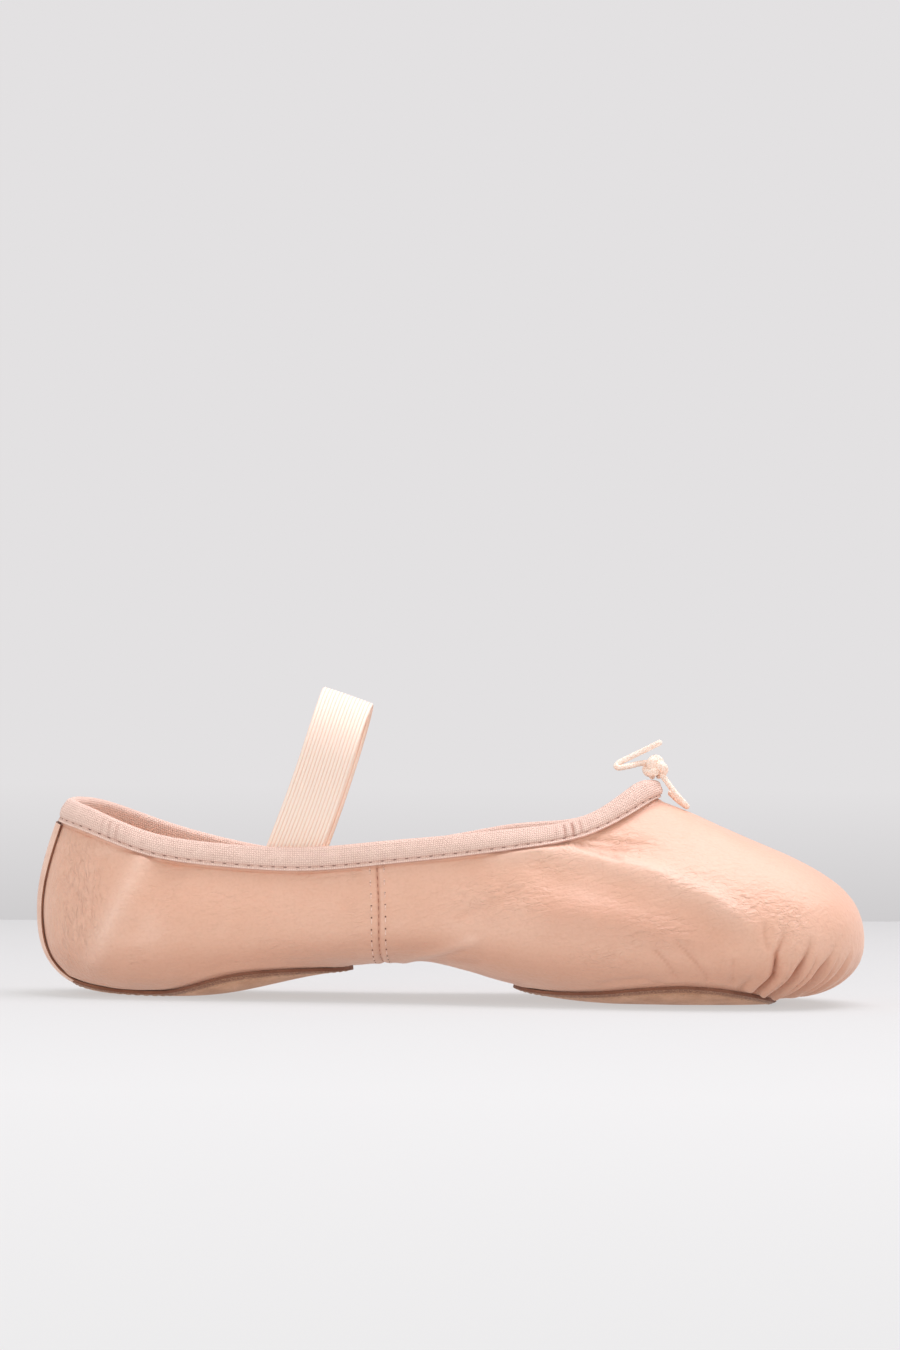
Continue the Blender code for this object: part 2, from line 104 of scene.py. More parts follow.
@dataclass(frozen=True)
class Last:
    """The surface that every piece is laid on, as in the part's source.

    A place on it is (turn, level). Turn counts the 13 sections from the toe along the +Y side to
    the heel, and back along the -Y side to 24. Level is 0 to 1 under the foot, 1 to 2 up the side
    to the tape's lower edge, and 2 to 3 up to the leather's top edge. Lengths are in metres.
    """

    length: float = 0.240
    ball_width: float = 0.079
    waist_width: float = 0.054
    heel_width: float = 0.0555
    collar_width: float = 0.047
    throat_height: float = 0.0575
    side_height: float = 0.0370
    heel_height: float = 0.0480
    arch_lift: float = 0.0088
    collar_wave: float = 0.0025
    leather: float = 0.0012
    suede: float = 0.0012
    insole: float = 0.0008
    tape: float = 0.0008
    gap: float = 0.0003
    tape_height: float = 0.0072
    lasting_margin: float = 0.0060
    rows: Array = field(init=False)
    slopes: Array = field(init=False)

    def __post_init__(self) -> None:
        """Works the sections out in metres and fits the closed cubic spline through them."""
        ball, waist, heel = self.ball_width, self.waist_width, self.heel_width
        throat, side, back = self.throat_height, self.side_height, self.heel_height
        spans = [(ball, throat)] * 5 + [(waist, side)] * 4 + [(heel, side)] + [(heel, back)] * 3
        base = self.suede + self.gap
        half = []
        for (width, height), values in zip(spans, zip(*SHARES.values())):
            sizes = {"length": self.length - base, "width": width, "height": height}
            row = {
                name: value * sizes.get(SCALE.get(name), 1.0)
                for name, value in zip(COLUMNS, values)
            }
            for name in ("seat", "wide_x", "edge_x"):
                row[name] += base - self.length / 2
            for name in ("wide_z", "edge_z"):
                row[name] += base
            row["under"] = base + row["under"] * self.arch_lift
            row["edge_y"] *= self.collar_width
            row["wave"] *= self.collar_wave
            row["patch"] = math.copysign(row["patch"] ** 2, row["patch"])
            half.append(row)
        other = [
            dict(row, wide_y=-row["wide_y"], edge_y=-row["edge_y"], wave=0.0)
            for row in half[-2:0:-1]
        ]
        rows = np.array([[row[name] for name in COLUMNS] for row in half + other])
        count = len(rows)
        weights = 4 * np.eye(count) + np.roll(np.eye(count), 1, 0) + np.roll(np.eye(count), -1, 0)
        slopes = np.linalg.solve(weights, 3 * (np.roll(rows, -1, 0) - np.roll(rows, 1, 0)))
        object.__setattr__(self, "rows", rows)
        object.__setattr__(self, "slopes", slopes)

    @property
    def band_height(self) -> float:
        """The height of the leather that lies under the tape."""
        return self.tape_height - self.leather / 2 - self.gap - self.tape

    @property
    def tape_foot(self) -> float:
        """The level of the tape's lower edge."""
        return 2 + self.gap / self.band_height

    def section(self, turn: Array) -> dict[str, Array]:
        """The section at each turn, from the spline.

        Args:
            turn: The turns.

        Returns:
            For each column, its values at these turns.
        """
        count = len(self.rows)
        turn = np.mod(turn, count)
        at = np.minimum(np.floor(turn).astype(int), count - 1)
        part = (turn - at)[..., None]
        after = (at + 1) % count
        values = (
            (2 * part**3 - 3 * part**2 + 1) * self.rows[at]
            + (part**3 - 2 * part**2 + part) * self.slopes[at]
            + (3 * part**2 - 2 * part**3) * self.rows[after]
            + (part**3 - part**2) * self.slopes[after]
        )
        found = {name: values[..., place] for place, name in enumerate(COLUMNS)}
        found["under"] = np.maximum(found["under"], self.suede + self.gap)
        return found

    def point(self, turn: Array, level: Array) -> Array:
        """The leather's outer face.

        Args:
            turn: The turns.
            level: The levels.

        Returns:
            The point at each turn and level.
        """
        turn, level = np.broadcast_arrays(np.asarray(turn, float), np.asarray(level, float))
        cut = self.section(turn)
        zero = np.zeros_like(turn)
        wide = np.stack((cut["wide_x"], cut["wide_y"], cut["wide_z"]), -1)
        edge = np.stack((cut["edge_x"], cut["edge_y"], cut["edge_z"] + cut["wave"]), -1)
        # Under the foot: flat, then a superellipse up to the widest place
        span = np.hypot(cut["wide_x"] - cut["seat"], cut["wide_y"])
        out = span * np.sin(np.clip(level, 0, 1) * math.pi / 2)
        curved = np.clip((out - cut["flat"]) / (span - cut["flat"]), 0, 1)
        height = 1 - np.maximum(0, 1 - curved ** cut["square"]) ** (1 / cut["square"])
        share = out / span
        low = np.stack((
            cut["seat"] + (cut["wide_x"] - cut["seat"]) * share,
            cut["wide_y"] * share,
            cut["under"] + (cut["wide_z"] - cut["under"]) * height,
        ), -1)
        # Up the side: a Bezier curve to the tape's lower edge
        plan = edge[..., :2] - wide[..., :2]
        plan = plan / np.linalg.norm(plan, axis=-1, keepdims=True)
        inward = np.concatenate((plan, zero[..., None]), -1)
        up = np.stack((zero, zero, zero + 1), -1)
        rise = np.radians(cut["rise"])[..., None]
        part = np.clip(level - 1, 0, 1)[..., None]
        over = wide + cut["lift"][..., None] * up
        below = edge - cut["reach"][..., None] * (inward * np.cos(rise) + up * np.sin(rise))
        rest = 1 - part
        side = (
            rest**3 * wide + 3 * rest**2 * part * over + 3 * rest * part**2 * below + part**3 * edge
        )
        # Under the tape: straight on
        band = np.radians(cut["band"])[..., None]
        tall = (np.maximum(level - 2, 0) * self.band_height * cut["tape"])[..., None]
        top = edge + tall * (inward * np.cos(band) + up * np.sin(band))
        choice = level[..., None]
        return np.where(choice <= 1, low, np.where(choice <= 2, side, top))

    def normal(self, turn: Array, level: Array) -> Array:
        """The outward directions of the last.

        Args:
            turn: The turns.
            level: The levels.

        Returns:
            A unit vector at each turn and level.
        """
        turn, level = np.broadcast_arrays(np.asarray(turn, float), np.asarray(level, float))
        step = 0.02
        low = np.where((level >= 2) & (level < 2 + step), level, np.maximum(step, level - step))
        high = np.where(level > 3 - step, level, np.maximum(3 * step, level + step))
        along = self.point(turn + step, high) - self.point(turn - step, high)
        rising = self.point(turn, high) - self.point(turn, low)
        outward = np.cross(along, rising)
        outward[..., 1] = np.where(level <= 0, 0, outward[..., 1])
        return outward / np.linalg.norm(outward, axis=-1, keepdims=True)

    def offset(self, turn: Array, level: Array, out: float | Array) -> Array:
        """The points this far outside the leather's outer face."""
        out = np.broadcast_to(np.asarray(out, float), np.broadcast(turn, level).shape)
        return self.point(turn, level) + out[..., None] * self.normal(turn, level)

    def metre_per_turn(self, turn: Array, level: Array) -> Array:
        """How far round the shoe one turn goes.

        Args:
            turn: The turns.
            level: The levels.

        Returns:
            Metres for each turn and level.
        """
        step = 0.01
        way = self.point(turn + step, level) - self.point(turn - step, level)
        return np.linalg.norm(way, axis=-1) / (2 * step)

    def reach(self, turn: Array) -> Array:
        """How far the suede reaches from the seat line, or zero at the bare arch."""
        return np.sqrt(np.maximum(0, self.section(turn)["patch"]))

    def level_at(self, turn: Array, distance: Array) -> Array:
        """The level under the foot at a distance from the seat line, seen from above.

        Args:
            turn: The turns.
            distance: The distances in metres.

        Returns:
            The levels.
        """
        cut = self.section(turn)
        span = np.hypot(cut["wide_x"] - cut["seat"], cut["wide_y"])
        return 2 / math.pi * np.arcsin(np.clip(distance / span, 0, 1))

    def opening_level(self, turn: Array) -> Array:
        """The level of the opening's edge in the leather, or zero where the arch closes it."""
        return self.level_at(turn, np.maximum(0, self.reach(turn) - self.lasting_margin))

    def patch_end(self, covered: float, bare: float) -> float:
        """The turn at which the suede ends.

        Args:
            covered: A turn where there is suede.
            bare: A turn where there is none.

        Returns:
            The first bare turn between them.
        """
        for _ in range(40):
            middle = (covered + bare) / 2
            if float(self.reach(np.array(middle))) > 0:
                covered = middle
            else:
                bare = middle
        return bare

    def turn_at_place(self, place: float, level: float) -> float:
        """The turn on the +Y side at a place along the shoe.

        Args:
            place: The share of the last's length, from the heel.
            level: The level at which it is measured.

        Returns:
            The turn.
        """
        base = self.suede + self.gap
        want = base - self.length / 2 + place * (self.length - base)
        front, back = 0.0, float(HEEL)
        for _ in range(40):
            middle = (front + back) / 2
            if self.point(np.array(middle), np.array(level))[0] > want:
                front = middle
            else:
                back = middle
        return front


LAST = Last()


def smooth_step(low: float, high: float, value: Array) -> Array:
    """Zero below low, one above high, and smooth between them."""
    part = np.clip((value - low) / (high - low), 0, 1)
    return part * part * (3 - 2 * part)


def noise_at(points: Array, size: float, seed: float) -> Array:
    """Smooth noise from about -1 to 1.

    Args:
        points: Places, with x, y and z last.
        size: Width of a bump in metres.
        seed: Shifts the pattern.

    Returns:
        One value for each place.
    """
    scaled = points.reshape(-1, 3) / size + seed
    return np.array([noise.noise(Vector(place)) for place in scaled]).reshape(points.shape[:-1])


def distance_to_line(places: Array, line: Array) -> tuple[Array, Array]:
    """How near flat places lie to a line.

    Args:
        places: The places, with their two coordinates last.
        line: The points of the line.

    Returns:
        The distance of each place, and how far along the line its nearest point is, 0 to 1.
    """
    best = np.full(places.shape[:-1], 1e9)
    along = np.zeros(places.shape[:-1])
    pieces = len(line) - 1
    for count, (start, end) in enumerate(zip(line, line[1:])):
        way = end - start
        part = np.clip(((places - start) @ way) / (way @ way), 0, 1)
        gap = np.linalg.norm(places - start - part[..., None] * way, axis=-1)
        nearer = gap < best
        best = np.where(nearer, gap, best)
        along = np.where(nearer, (count + part) / pieces, along)
    return best, along


def through_points(points: Array, count: int) -> Array:
    """Evenly spaced points on a smooth curve through others.

    Args:
        points: The points that the curve runs through.
        count: How many points come out.

    Returns:
        The points of the curve.
    """
    points = np.asarray(points, float)
    ends = np.vstack((2 * points[0] - points[1], points, 2 * points[-1] - points[-2]))
    part = np.linspace(0, 1, 24, endpoint=False)[:, None]
    fine = []
    for a, b, c, d in zip(ends, ends[1:], ends[2:], ends[3:]):
        square, cube = 2 * a - 5 * b + 4 * c - d, 3 * b - a - 3 * c + d
        fine.append(0.5 * (2 * b + part * (c - a) + part**2 * square + part**3 * cube))
    line = np.vstack((*fine, points[-1]))
    lengths = np.concatenate(([0], np.cumsum(np.linalg.norm(np.diff(line, axis=0), axis=1))))
    wanted = np.linspace(0, lengths[-1], count)
    return np.stack([np.interp(wanted, lengths, line[:, axis]) for axis in range(3)], -1)


def linear(colour: str) -> tuple[float, float, float, float]:
    """Turns an sRGB colour into linear values.

    Args:
        colour: The colour in hex, such as #e6bba3.

    Returns:
        Red, green, blue and alpha.
    """
    values = [int(colour[at : at + 2], 16) / 255 for at in (1, 3, 5)]
    red, green, blue = (v / 12.92 if v <= 0.04045 else ((v + 0.055) / 1.055) ** 2.4 for v in values)
    return red, green, blue, 1.0


def feed(tree: bpy.types.NodeTree, node: bpy.types.Node, values: dict) -> None:
    """Sets and links the inputs of a node.

    Args:
        tree: The node's tree.
        node: The node.
        values: For each input, its value, a hex colour, or what feeds it: an output, or a node,
            which stands for its first output in use.
    """
    for name, value in values.items():
        if isinstance(value, bpy.types.Node):
            value = next(output for output in value.outputs if output.enabled)
        if isinstance(value, bpy.types.NodeSocket):
            tree.links.new(value, node.inputs[name])
        else:
            node.inputs[name].default_value = linear(value) if isinstance(value, str) else value


def add_node(
    tree: bpy.types.NodeTree, kind: str, values: dict | None = None, **settings: object
) -> bpy.types.Node:
    """Adds a node with its settings and links.

    Args:
        tree: The tree that gets it.
        kind: Blender's name of the node.
        values: Its inputs, as feed takes them.
        settings: Attributes of the node.

    Returns:
        The node.
    """
    node = tree.nodes.new(kind)
    for name, value in settings.items():
        setattr(node, name, value)
    feed(tree, node, values or {})
    return node


class Weave(Enum):
    """How a cloth's threads cross."""

    PLAIN = "plain"
    TWILL = "twill"


@dataclass(frozen=True)
class Finish:
    """What every finish has: a name and typical values, and a shader to build on."""

    name: str
    colour: str
    roughness: float

    def start(self) -> tuple[bpy.types.Material, bpy.types.NodeTree, bpy.types.Node]:
        """A material with its principled shader.

        Returns:
            The material, its tree and the shader.
        """
        made = bpy.data.materials.new(self.name)
        made.use_nodes = True
        tree = made.node_tree
        shader = tree.nodes["Principled BSDF"]
        feed(tree, shader, {"Base Color": self.colour, "Roughness": self.roughness})
        return made, tree, shader


@dataclass(frozen=True)
class ShoeLeather(Finish):
    """Soft full-grain leather, drum-dyed pink and lightly glazed: fine pebbled grain, satin gloss.

    Fine wrinkles follow the attributes wrinkle_along and wrinkle_up and lie in painted shade. fold
    holds the painted shade of pleats, creases, the seam and the underside, and one more attribute
    holds a painted highlight along the ridges.
    """

    # Brown of the painted shade in folds, creases and wrinkles, and of the grain's valleys
    deep: str = "#b5745a"
    # Paler tone of the dye's clouds, and of the painted highlight along the ridges
    light: str = "#f2cdb8"
    fuzz_tint: str = "#ffe2d2"
    cloud: float = 22 * MM
    grain: float = 0.75 * MM
    grain_depth: float = 0.10 * MM
    wrinkle: float = 2.2 * MM
    ripple: float = 1.35 * MM
    wrinkle_depth: float = 0.36 * MM
    lean: float = math.radians(-14)
    glaze: float = 0.35

    def wrinkles(self, add: Maker, place: bpy.types.NodeSocket) -> bpy.types.Node:
        """The depth of the fine wrinkles: one set lies along the shoe, the other up the heel.

        Args:
            add: Adds a node to the material.
            place: The object coordinates.

        Returns:
            The node that adds both sets.
        """
        sets = []
        leaned = add(
            "ShaderNodeVectorRotate", {"Vector": place, "Angle": -self.lean}, rotation_type="Y_AXIS"
        )
        squeezes = {"wrinkle_along": (0.42, 1.0, 1.0), "wrinkle_up": (1.0, 1.0, 0.36)}
        for name, squeeze in squeezes.items():
            mask = add("ShaderNodeAttribute", attribute_name=name).outputs["Fac"]
            squeezed = add("ShaderNodeMapping", {"Vector": leaned, "Scale": squeeze})
            soft = add("ShaderNodeTexNoise", {
                "Vector": squeezed, "Scale": 1 / self.ripple, "Detail": 1.5, "Roughness": 0.5,
            })
            hollow = add("ShaderNodeMapRange", {
                "Value": soft, "From Min": 0.30, "From Max": 0.70, "To Min": 1.0, "To Max": 0.0,
            }, interpolation_type="SMOOTHSTEP")
            # A thin furrow runs where the coarser noise crosses its middle
            coarse = add("ShaderNodeTexNoise", {
                "Vector": squeezed, "Scale": 1 / self.wrinkle,
                "Detail": 2.0, "Roughness": 0.5, "Distortion": 0.3,
            })
            middle = add("ShaderNodeMath", {0: coarse, 1: 0.5}, operation="SUBTRACT")
            edge = add("ShaderNodeMath", {0: middle}, operation="ABSOLUTE")
            furrow = add("ShaderNodeMapRange", {
                "Value": edge, "From Min": 0.0, "From Max": 0.06, "To Min": 0.30, "To Max": 0.0,
            }, interpolation_type="SMOOTHSTEP")
            both = add("ShaderNodeMath", {0: hollow, 1: 0.7, 2: furrow}, operation="MULTIPLY_ADD")
            sets.append(add("ShaderNodeMath", {0: both, 1: mask}, operation="MULTIPLY"))
        return add("ShaderNodeMath", {0: sets[0], 1: sets[1]}, operation="ADD")

    def build(self) -> bpy.types.Material:
        """Makes the material.

        Returns:
            The material.
        """
        made, tree, shader = self.start()
        add = partial(add_node, tree)
        place = add("ShaderNodeTexCoord").outputs["Object"]
        fold = add("ShaderNodeAttribute", attribute_name="fold").outputs["Fac"]
        ridge_highlight = add("ShaderNodeAttribute", attribute_name="ridge_highlight").outputs["Fac"]
        # The dye is faintly cloudy, and a painted highlight pales the leather along its ridges
        cloud = add("ShaderNodeTexNoise", {
            "Vector": place, "Scale": 1 / self.cloud, "Detail": 3.0, "Roughness": 0.6,
        })
        patchy = add("ShaderNodeMapRange", {"Value": cloud, "From Min": 0.35, "From Max": 0.75})
        faint = add("ShaderNodeMath", {0: patchy, 1: 0.22}, operation="MULTIPLY")
        even = add("ShaderNodeMix", {0: faint, 6: self.colour, 7: self.light}, data_type="RGBA")
        paler = add("ShaderNodeMath", {0: ridge_highlight, 1: 0.5}, operation="MULTIPLY")
        tone = add("ShaderNodeMix", {0: paler, 6: even, 7: self.light}, data_type="RGBA")
        # Painted shade darkens the wrinkles and the folds, and the valleys between the grain's cells lie
        # darker
        lines = self.wrinkles(add, place)
        cells = add(
            "ShaderNodeTexVoronoi", {"Vector": place, "Scale": 1 / self.grain}, feature="SMOOTH_F1"
        )
        valleys = add("ShaderNodeMapRange", {"Value": cells, "From Min": 0.35, "From Max": 0.85})
        low = add("ShaderNodeMath", {0: valleys, 1: 0.10}, operation="MULTIPLY")
        shade = add(
            "ShaderNodeMath", {0: lines, 1: 0.14, 2: low}, operation="MULTIPLY_ADD", use_clamp=True
        )
        grained = add("ShaderNodeMix", {0: shade, 6: tone, 7: self.deep}, data_type="RGBA")
        # The painted shade from the fold attribute turns the leather towards the deep brown
        depth = add("ShaderNodeMath", {0: fold, 1: 0.85}, operation="MULTIPLY", use_clamp=True)
        creased = add("ShaderNodeBump", {
            "Strength": 1.0, "Distance": self.wrinkle_depth, "Height": lines,
        }, invert=True)
        feed(tree, shader, {
            "Base Color": add(
                "ShaderNodeMix", {0: depth, 6: grained, 7: self.deep}, data_type="RGBA"
            ),
            "Roughness": add("ShaderNodeMapRange", {
                "Value": cloud, "To Min": self.roughness - 0.05, "To Max": self.roughness + 0.08,
            }),
            "Normal": add("ShaderNodeBump", {
                "Strength": 0.35, "Distance": self.grain_depth, "Height": valleys, "Normal": creased,
            }, invert=True),
            # The glaze fades where the painted shade lies, and stays on what lies open
            "Coat Weight": add("ShaderNodeMapRange", {
                "Value": fold, "From Max": 0.5, "To Min": self.glaze, "To Max": 0.0,
            }),
            "Coat Roughness": 0.45,
            # A soft bloom of loose fibres lightens the leather where it turns away
            "Sheen Weight": 0.42,
            "Sheen Roughness": 0.45,
            "Sheen Tint": self.fuzz_tint,
            "Subsurface Weight": 0.06,
            "Subsurface Radius": (1.0, 0.4, 0.25),
            "Subsurface Scale": 1.0 * MM,
        })
        return made


@dataclass(frozen=True)
class Suede(Finish):
    """Split leather with a raised nap: matte, mottled, darker where it is brushed or cut."""

    rubbed: str = "#8a5c40"
    cut: str = "#7d4f39"
    mottle: float = 7 * MM
    nap: float = 0.35 * MM
    nap_depth: float = 0.25 * MM

    def build(self) -> bpy.types.Material:
        """Makes the material.

        Returns:
            The material.
        """
        made, tree, shader = self.start()
        add = partial(add_node, tree)
        place = add("ShaderNodeTexCoord").outputs["Object"]
        fold = add("ShaderNodeAttribute", attribute_name="fold").outputs["Fac"]
        cloud = add("ShaderNodeTexNoise", {
            "Vector": place, "Scale": 1 / self.mottle, "Detail": 4.0, "Roughness": 0.65,
        })
        fibres = add("ShaderNodeTexNoise", {
            "Vector": place, "Scale": 1 / self.nap, "Detail": 2.0, "Roughness": 0.7,
        })
        brushed = add("ShaderNodeMapRange", {"Value": cloud, "From Min": 0.35, "From Max": 0.7})
        tone = add("ShaderNodeMix", {0: brushed, 6: self.colour, 7: self.rubbed}, data_type="RGBA")
        lying = add("ShaderNodeMapRange", {"Value": fibres, "From Min": 0.45, "From Max": 0.75})
        fleck = add("ShaderNodeMath", {0: lying, 1: 0.35}, operation="MULTIPLY")
        napped = add("ShaderNodeMix", {0: fleck, 6: tone, 7: self.rubbed}, data_type="RGBA")
        # The cut edge shows through in tufts
        tufts = add("ShaderNodeMapRange", {"Value": fibres, "From Min": 0.25, "From Max": 0.55})
        frayed = add("ShaderNodeMath", {0: fold, 1: tufts}, operation="MULTIPLY")
        feed(tree, shader, {
            "Base Color": add(
                "ShaderNodeMix", {0: frayed, 6: napped, 7: self.cut}, data_type="RGBA"
            ),
            "Normal": add(
                "ShaderNodeBump", {"Strength": 0.7, "Distance": self.nap_depth, "Height": fibres}
            ),
            "Sheen Weight": 0.25,
            "Sheen Roughness": 0.5,
        })
        return made


@dataclass(frozen=True)
class Cloth(Finish):
    """Woven cotton. The UV map "cloth" is in millimetres along and across the threads.

    A real thread of this tape is about 0.45 mm. It is drawn as coarse as thread says, so that the
    weave still shows in the render.
    """

    # The colour of the painted shade in the gaps between threads and in the folds
    shadow: str = "#c98f7c"
    thread: float = 0.75
    weave: Weave = Weave.PLAIN
    depth: float = 0.22 * MM
    slub: float = 2.5 * MM

    def build(self) -> bpy.types.Material:
        """Makes the material.

        Returns:
            The material.
        """
        made, tree, shader = self.start()
        add = partial(add_node, tree)
        uv = add("ShaderNodeUVMap", uv_map="cloth")
        axes = add("ShaderNodeSeparateXYZ", {0: uv}).outputs
        slant = 0.5 if self.weave is Weave.TWILL else 0.0
        waves = []
        for first, second in ((0, 1), (1, 0)):
            lean = add("ShaderNodeMath", {
                0: axes[second], 1: slant * first, 2: axes[first],
            }, operation="MULTIPLY_ADD")
            scaled = add(
                "ShaderNodeMath", {0: lean, 1: 2 * math.pi / self.thread}, operation="MULTIPLY"
            )
            waves.append(add("ShaderNodeMath", {0: scaled}, operation="SINE"))
        # Over and under in turn, with each thread rounded
        product = add("ShaderNodeMath", {0: waves[0], 1: waves[1]}, operation="MULTIPLY")
        lifted = add("ShaderNodeMapRange", {"Value": product, "From Min": -1.0, "From Max": 1.0})
        rounded = [add("ShaderNodeMath", {0: wave}, operation="ABSOLUTE") for wave in waves]
        threads = add("ShaderNodeMath", {0: rounded[0], 1: rounded[1]}, operation="MINIMUM")
        height = add("ShaderNodeMath", {0: lifted, 1: threads}, operation="ADD")
        # Painted shade darkens the gaps between threads, unevenly as in slubbed yarn, and the gathers
        place = add("ShaderNodeTexCoord").outputs["Object"]
        slub = add("ShaderNodeTexNoise", {"Vector": place, "Scale": 1 / self.slub, "Detail": 3.0})
        gaps = add("ShaderNodeMapRange", {
            "Value": height, "From Min": 0.15, "From Max": 0.85, "To Min": 0.95, "To Max": 0.0,
        })
        gap_shade = add("ShaderNodeMath", {0: gaps, 1: slub}, operation="MULTIPLY")
        fold = add("ShaderNodeAttribute", attribute_name="fold").outputs["Fac"]
        dark = add(
            "ShaderNodeMath", {0: gap_shade, 1: 2.0, 2: fold}, operation="MULTIPLY_ADD", use_clamp=True
        )
        feed(tree, shader, {
            "Base Color": add(
                "ShaderNodeMix", {0: dark, 6: self.colour, 7: self.shadow}, data_type="RGBA"
            ),
            "Normal": add(
                "ShaderNodeBump", {"Strength": 0.6, "Distance": self.depth, "Height": height}
            ),
            "Sheen Weight": 0.15,
        })
        return made


@dataclass(frozen=True)
class RibbedElastic(Finish):
    """Woven elastic: silky cream ribs 1 mm wide with fine wefts across, and pinker painted shade
    between the ribs.

    The UV map "cloth" is in millimetres, first across the band and then along it.
    """

    groove_shade: str = "#ebbea4"
    rib: float = 1.0
    weft: float = 0.55
    weft_depth: float = 0.06 * MM

    def build(self) -> bpy.types.Material:
        """Makes the material.

        Returns:
            The material.
        """
        made, tree, shader = self.start()
        add = partial(add_node, tree)
        uv = add("ShaderNodeUVMap", uv_map="cloth")
        axes = add("ShaderNodeSeparateXYZ", {0: uv}).outputs
        turned = add("ShaderNodeMath", {
            0: axes[0], 1: math.pi / self.rib, 2: math.pi / 2,
        }, operation="MULTIPLY_ADD")
        wave = add("ShaderNodeMath", {0: turned}, operation="SINE")
        ridge = add("ShaderNodeMath", {0: wave}, operation="ABSOLUTE")
        # Painted shade in the grooves between the ribs
        gap = add("ShaderNodeMapRange", {
            "Value": ridge, "From Min": 0.05, "From Max": 0.75, "To Min": 0.70, "To Max": 0.0,
        })
        across = add(
            "ShaderNodeMath", {0: axes[1], 1: 2 * math.pi / self.weft}, operation="MULTIPLY"
        )
        wefts = add("ShaderNodeMath", {0: across}, operation="SINE")
        feed(tree, shader, {
            "Base Color": add(
                "ShaderNodeMix", {0: gap, 6: self.colour, 7: self.groove_shade}, data_type="RGBA"
            ),
            "Normal": add(
                "ShaderNodeBump", {"Strength": 0.35, "Distance": self.weft_depth, "Height": wefts}
            ),
            "Sheen Weight": 0.2,
            "Subsurface Weight": 0.08,
            "Subsurface Radius": (1.0, 0.6, 0.4),
            "Subsurface Scale": 0.8 * MM,
        })
        return made


@dataclass(frozen=True)
class Thread(Finish):
    """Twisted sewing or cord thread: matte, with a fine fibre fleck."""

    shadow: str = "#c9977f"
    fibre: float = 0.4 * MM
    fibre_depth: float = 0.12 * MM

    def build(self) -> bpy.types.Material:
        """Makes the material.

        Returns:
            The material.
        """
        made, tree, shader = self.start()
        add = partial(add_node, tree)
        place = add("ShaderNodeTexCoord").outputs["Object"]
        fleck = add("ShaderNodeTexNoise", {"Vector": place, "Scale": 1 / self.fibre, "Detail": 2.0})
        share = add("ShaderNodeMapRange", {"Value": fleck, "From Min": 0.42, "From Max": 0.68})
        feed(tree, shader, {
            "Base Color": add(
                "ShaderNodeMix", {0: share, 6: self.colour, 7: self.shadow}, data_type="RGBA"
            ),
            "Normal": add(
                "ShaderNodeBump", {"Strength": 0.4, "Distance": self.fibre_depth, "Height": fleck}
            ),
            "Sheen Weight": 0.2,
        })
        return made


def material(finish: Finish) -> bpy.types.Material:
    """The material of a finish, made once."""
    return bpy.data.materials.get(finish.name) or finish.build()


# Satin pink with a soft bloom: highlights spread wide, and painted shade turns the folds brown
LEATHER = ShoeLeather("pink_full_grain_leather", "#e3b196", 0.46)
# Dull tan that swallows highlights, mottled like a brushed nap
SUEDE = Suede("tan_split_suede", "#dba480", 0.92, rubbed="#b9805c")
# The pale strip up the heel, smoother than the sole
TAIL = Suede("pink_leather_heel_strip", "#efc7b1", 0.7, rubbed="#e2b39b")
# The dark line round each patch, where the knife has gone through
RAW_EDGE = Suede("brown_cut_suede_edge", "#98654c", 0.9, rubbed="#744631")
# Chalky pale pink with brown-red painted shade in the gaps, so that the coarse weave reads
TAPE = Cloth(
    "pink_woven_cotton_tape", "#ffdece", 0.85, shadow="#ad6650", thread=1.3, depth=0.55 * MM
)
# Flat and warm inside the shoe, with a faint slanting line of painted shade
LINING = Cloth(
    "pink_cotton_lining", "#fde0cf", 0.9, shadow="#efc2ab", thread=1.1, weave=Weave.TWILL,
    depth=0.05 * MM,
)
# Undyed and plain, under the foot
PAD = Cloth(
    "natural_cotton_sock_lining", "#ecd5bf", 0.9, shadow="#c9a88c", thread=1.2, depth=0.12 * MM
)
# Cream with a slight silky light on each rib, and pinker painted shade between the ribs
ELASTIC = RibbedElastic("cream_ribbed_elastic", "#fce8d9", 0.62)
# The palest and softest piece, with warm shade between the strands
CORD = Thread("cream_braided_cotton_cord", "#feefe2", 0.85, shadow="#f2cbb2")
# Stitches that stand out light against the leather and tape
SEWING = Thread("pink_sewing_thread", "#f6d6c6", 0.7)
# Waxed, a shade darker than the suede
SOLE_THREAD = Thread("tan_waxed_sole_thread", "#c79f80", 0.75, shadow="#a67c5e")
# Painted shade: dark dots that stand for the needle holes between the stitches
NEEDLE_HOLE = Thread("dark_needle_hole", "#7c4a3a", 0.9, shadow="#5e3528")
# The brown thread deep in the side seam's trough
SEAM_THREAD = Thread("brown_seam_thread", "#b5785f", 0.8, shadow="#8b5845")


def grid_quads(columns: int, rows: int, around: bool) -> Array:
    """The faces of a grid of points that is stored column by column.

    Args:
        columns: How many columns it has.
        rows: How many points each column has.
        around: Whether the last column is joined to the first.

    Returns:
        Four indices for each face.
    """
    here = np.arange(columns if around else columns - 1)[:, None]
    there = (here + 1) % columns
    row = np.arange(rows - 1)[None, :]
    corners = (here * rows + row, there * rows + row, there * rows + row + 1, here * rows + row + 1)
    return np.stack(corners, -1).reshape(-1, 4)


def add_object(name: str, data: bpy.types.ID) -> bpy.types.Object:
    """Puts a new object in the scene.

    Args:
        name: Its name.
        data: Its mesh, light or camera.

    Returns:
        The object.
    """
    made = bpy.data.objects.new(name, data)
    bpy.context.scene.collection.objects.link(made)
    return made


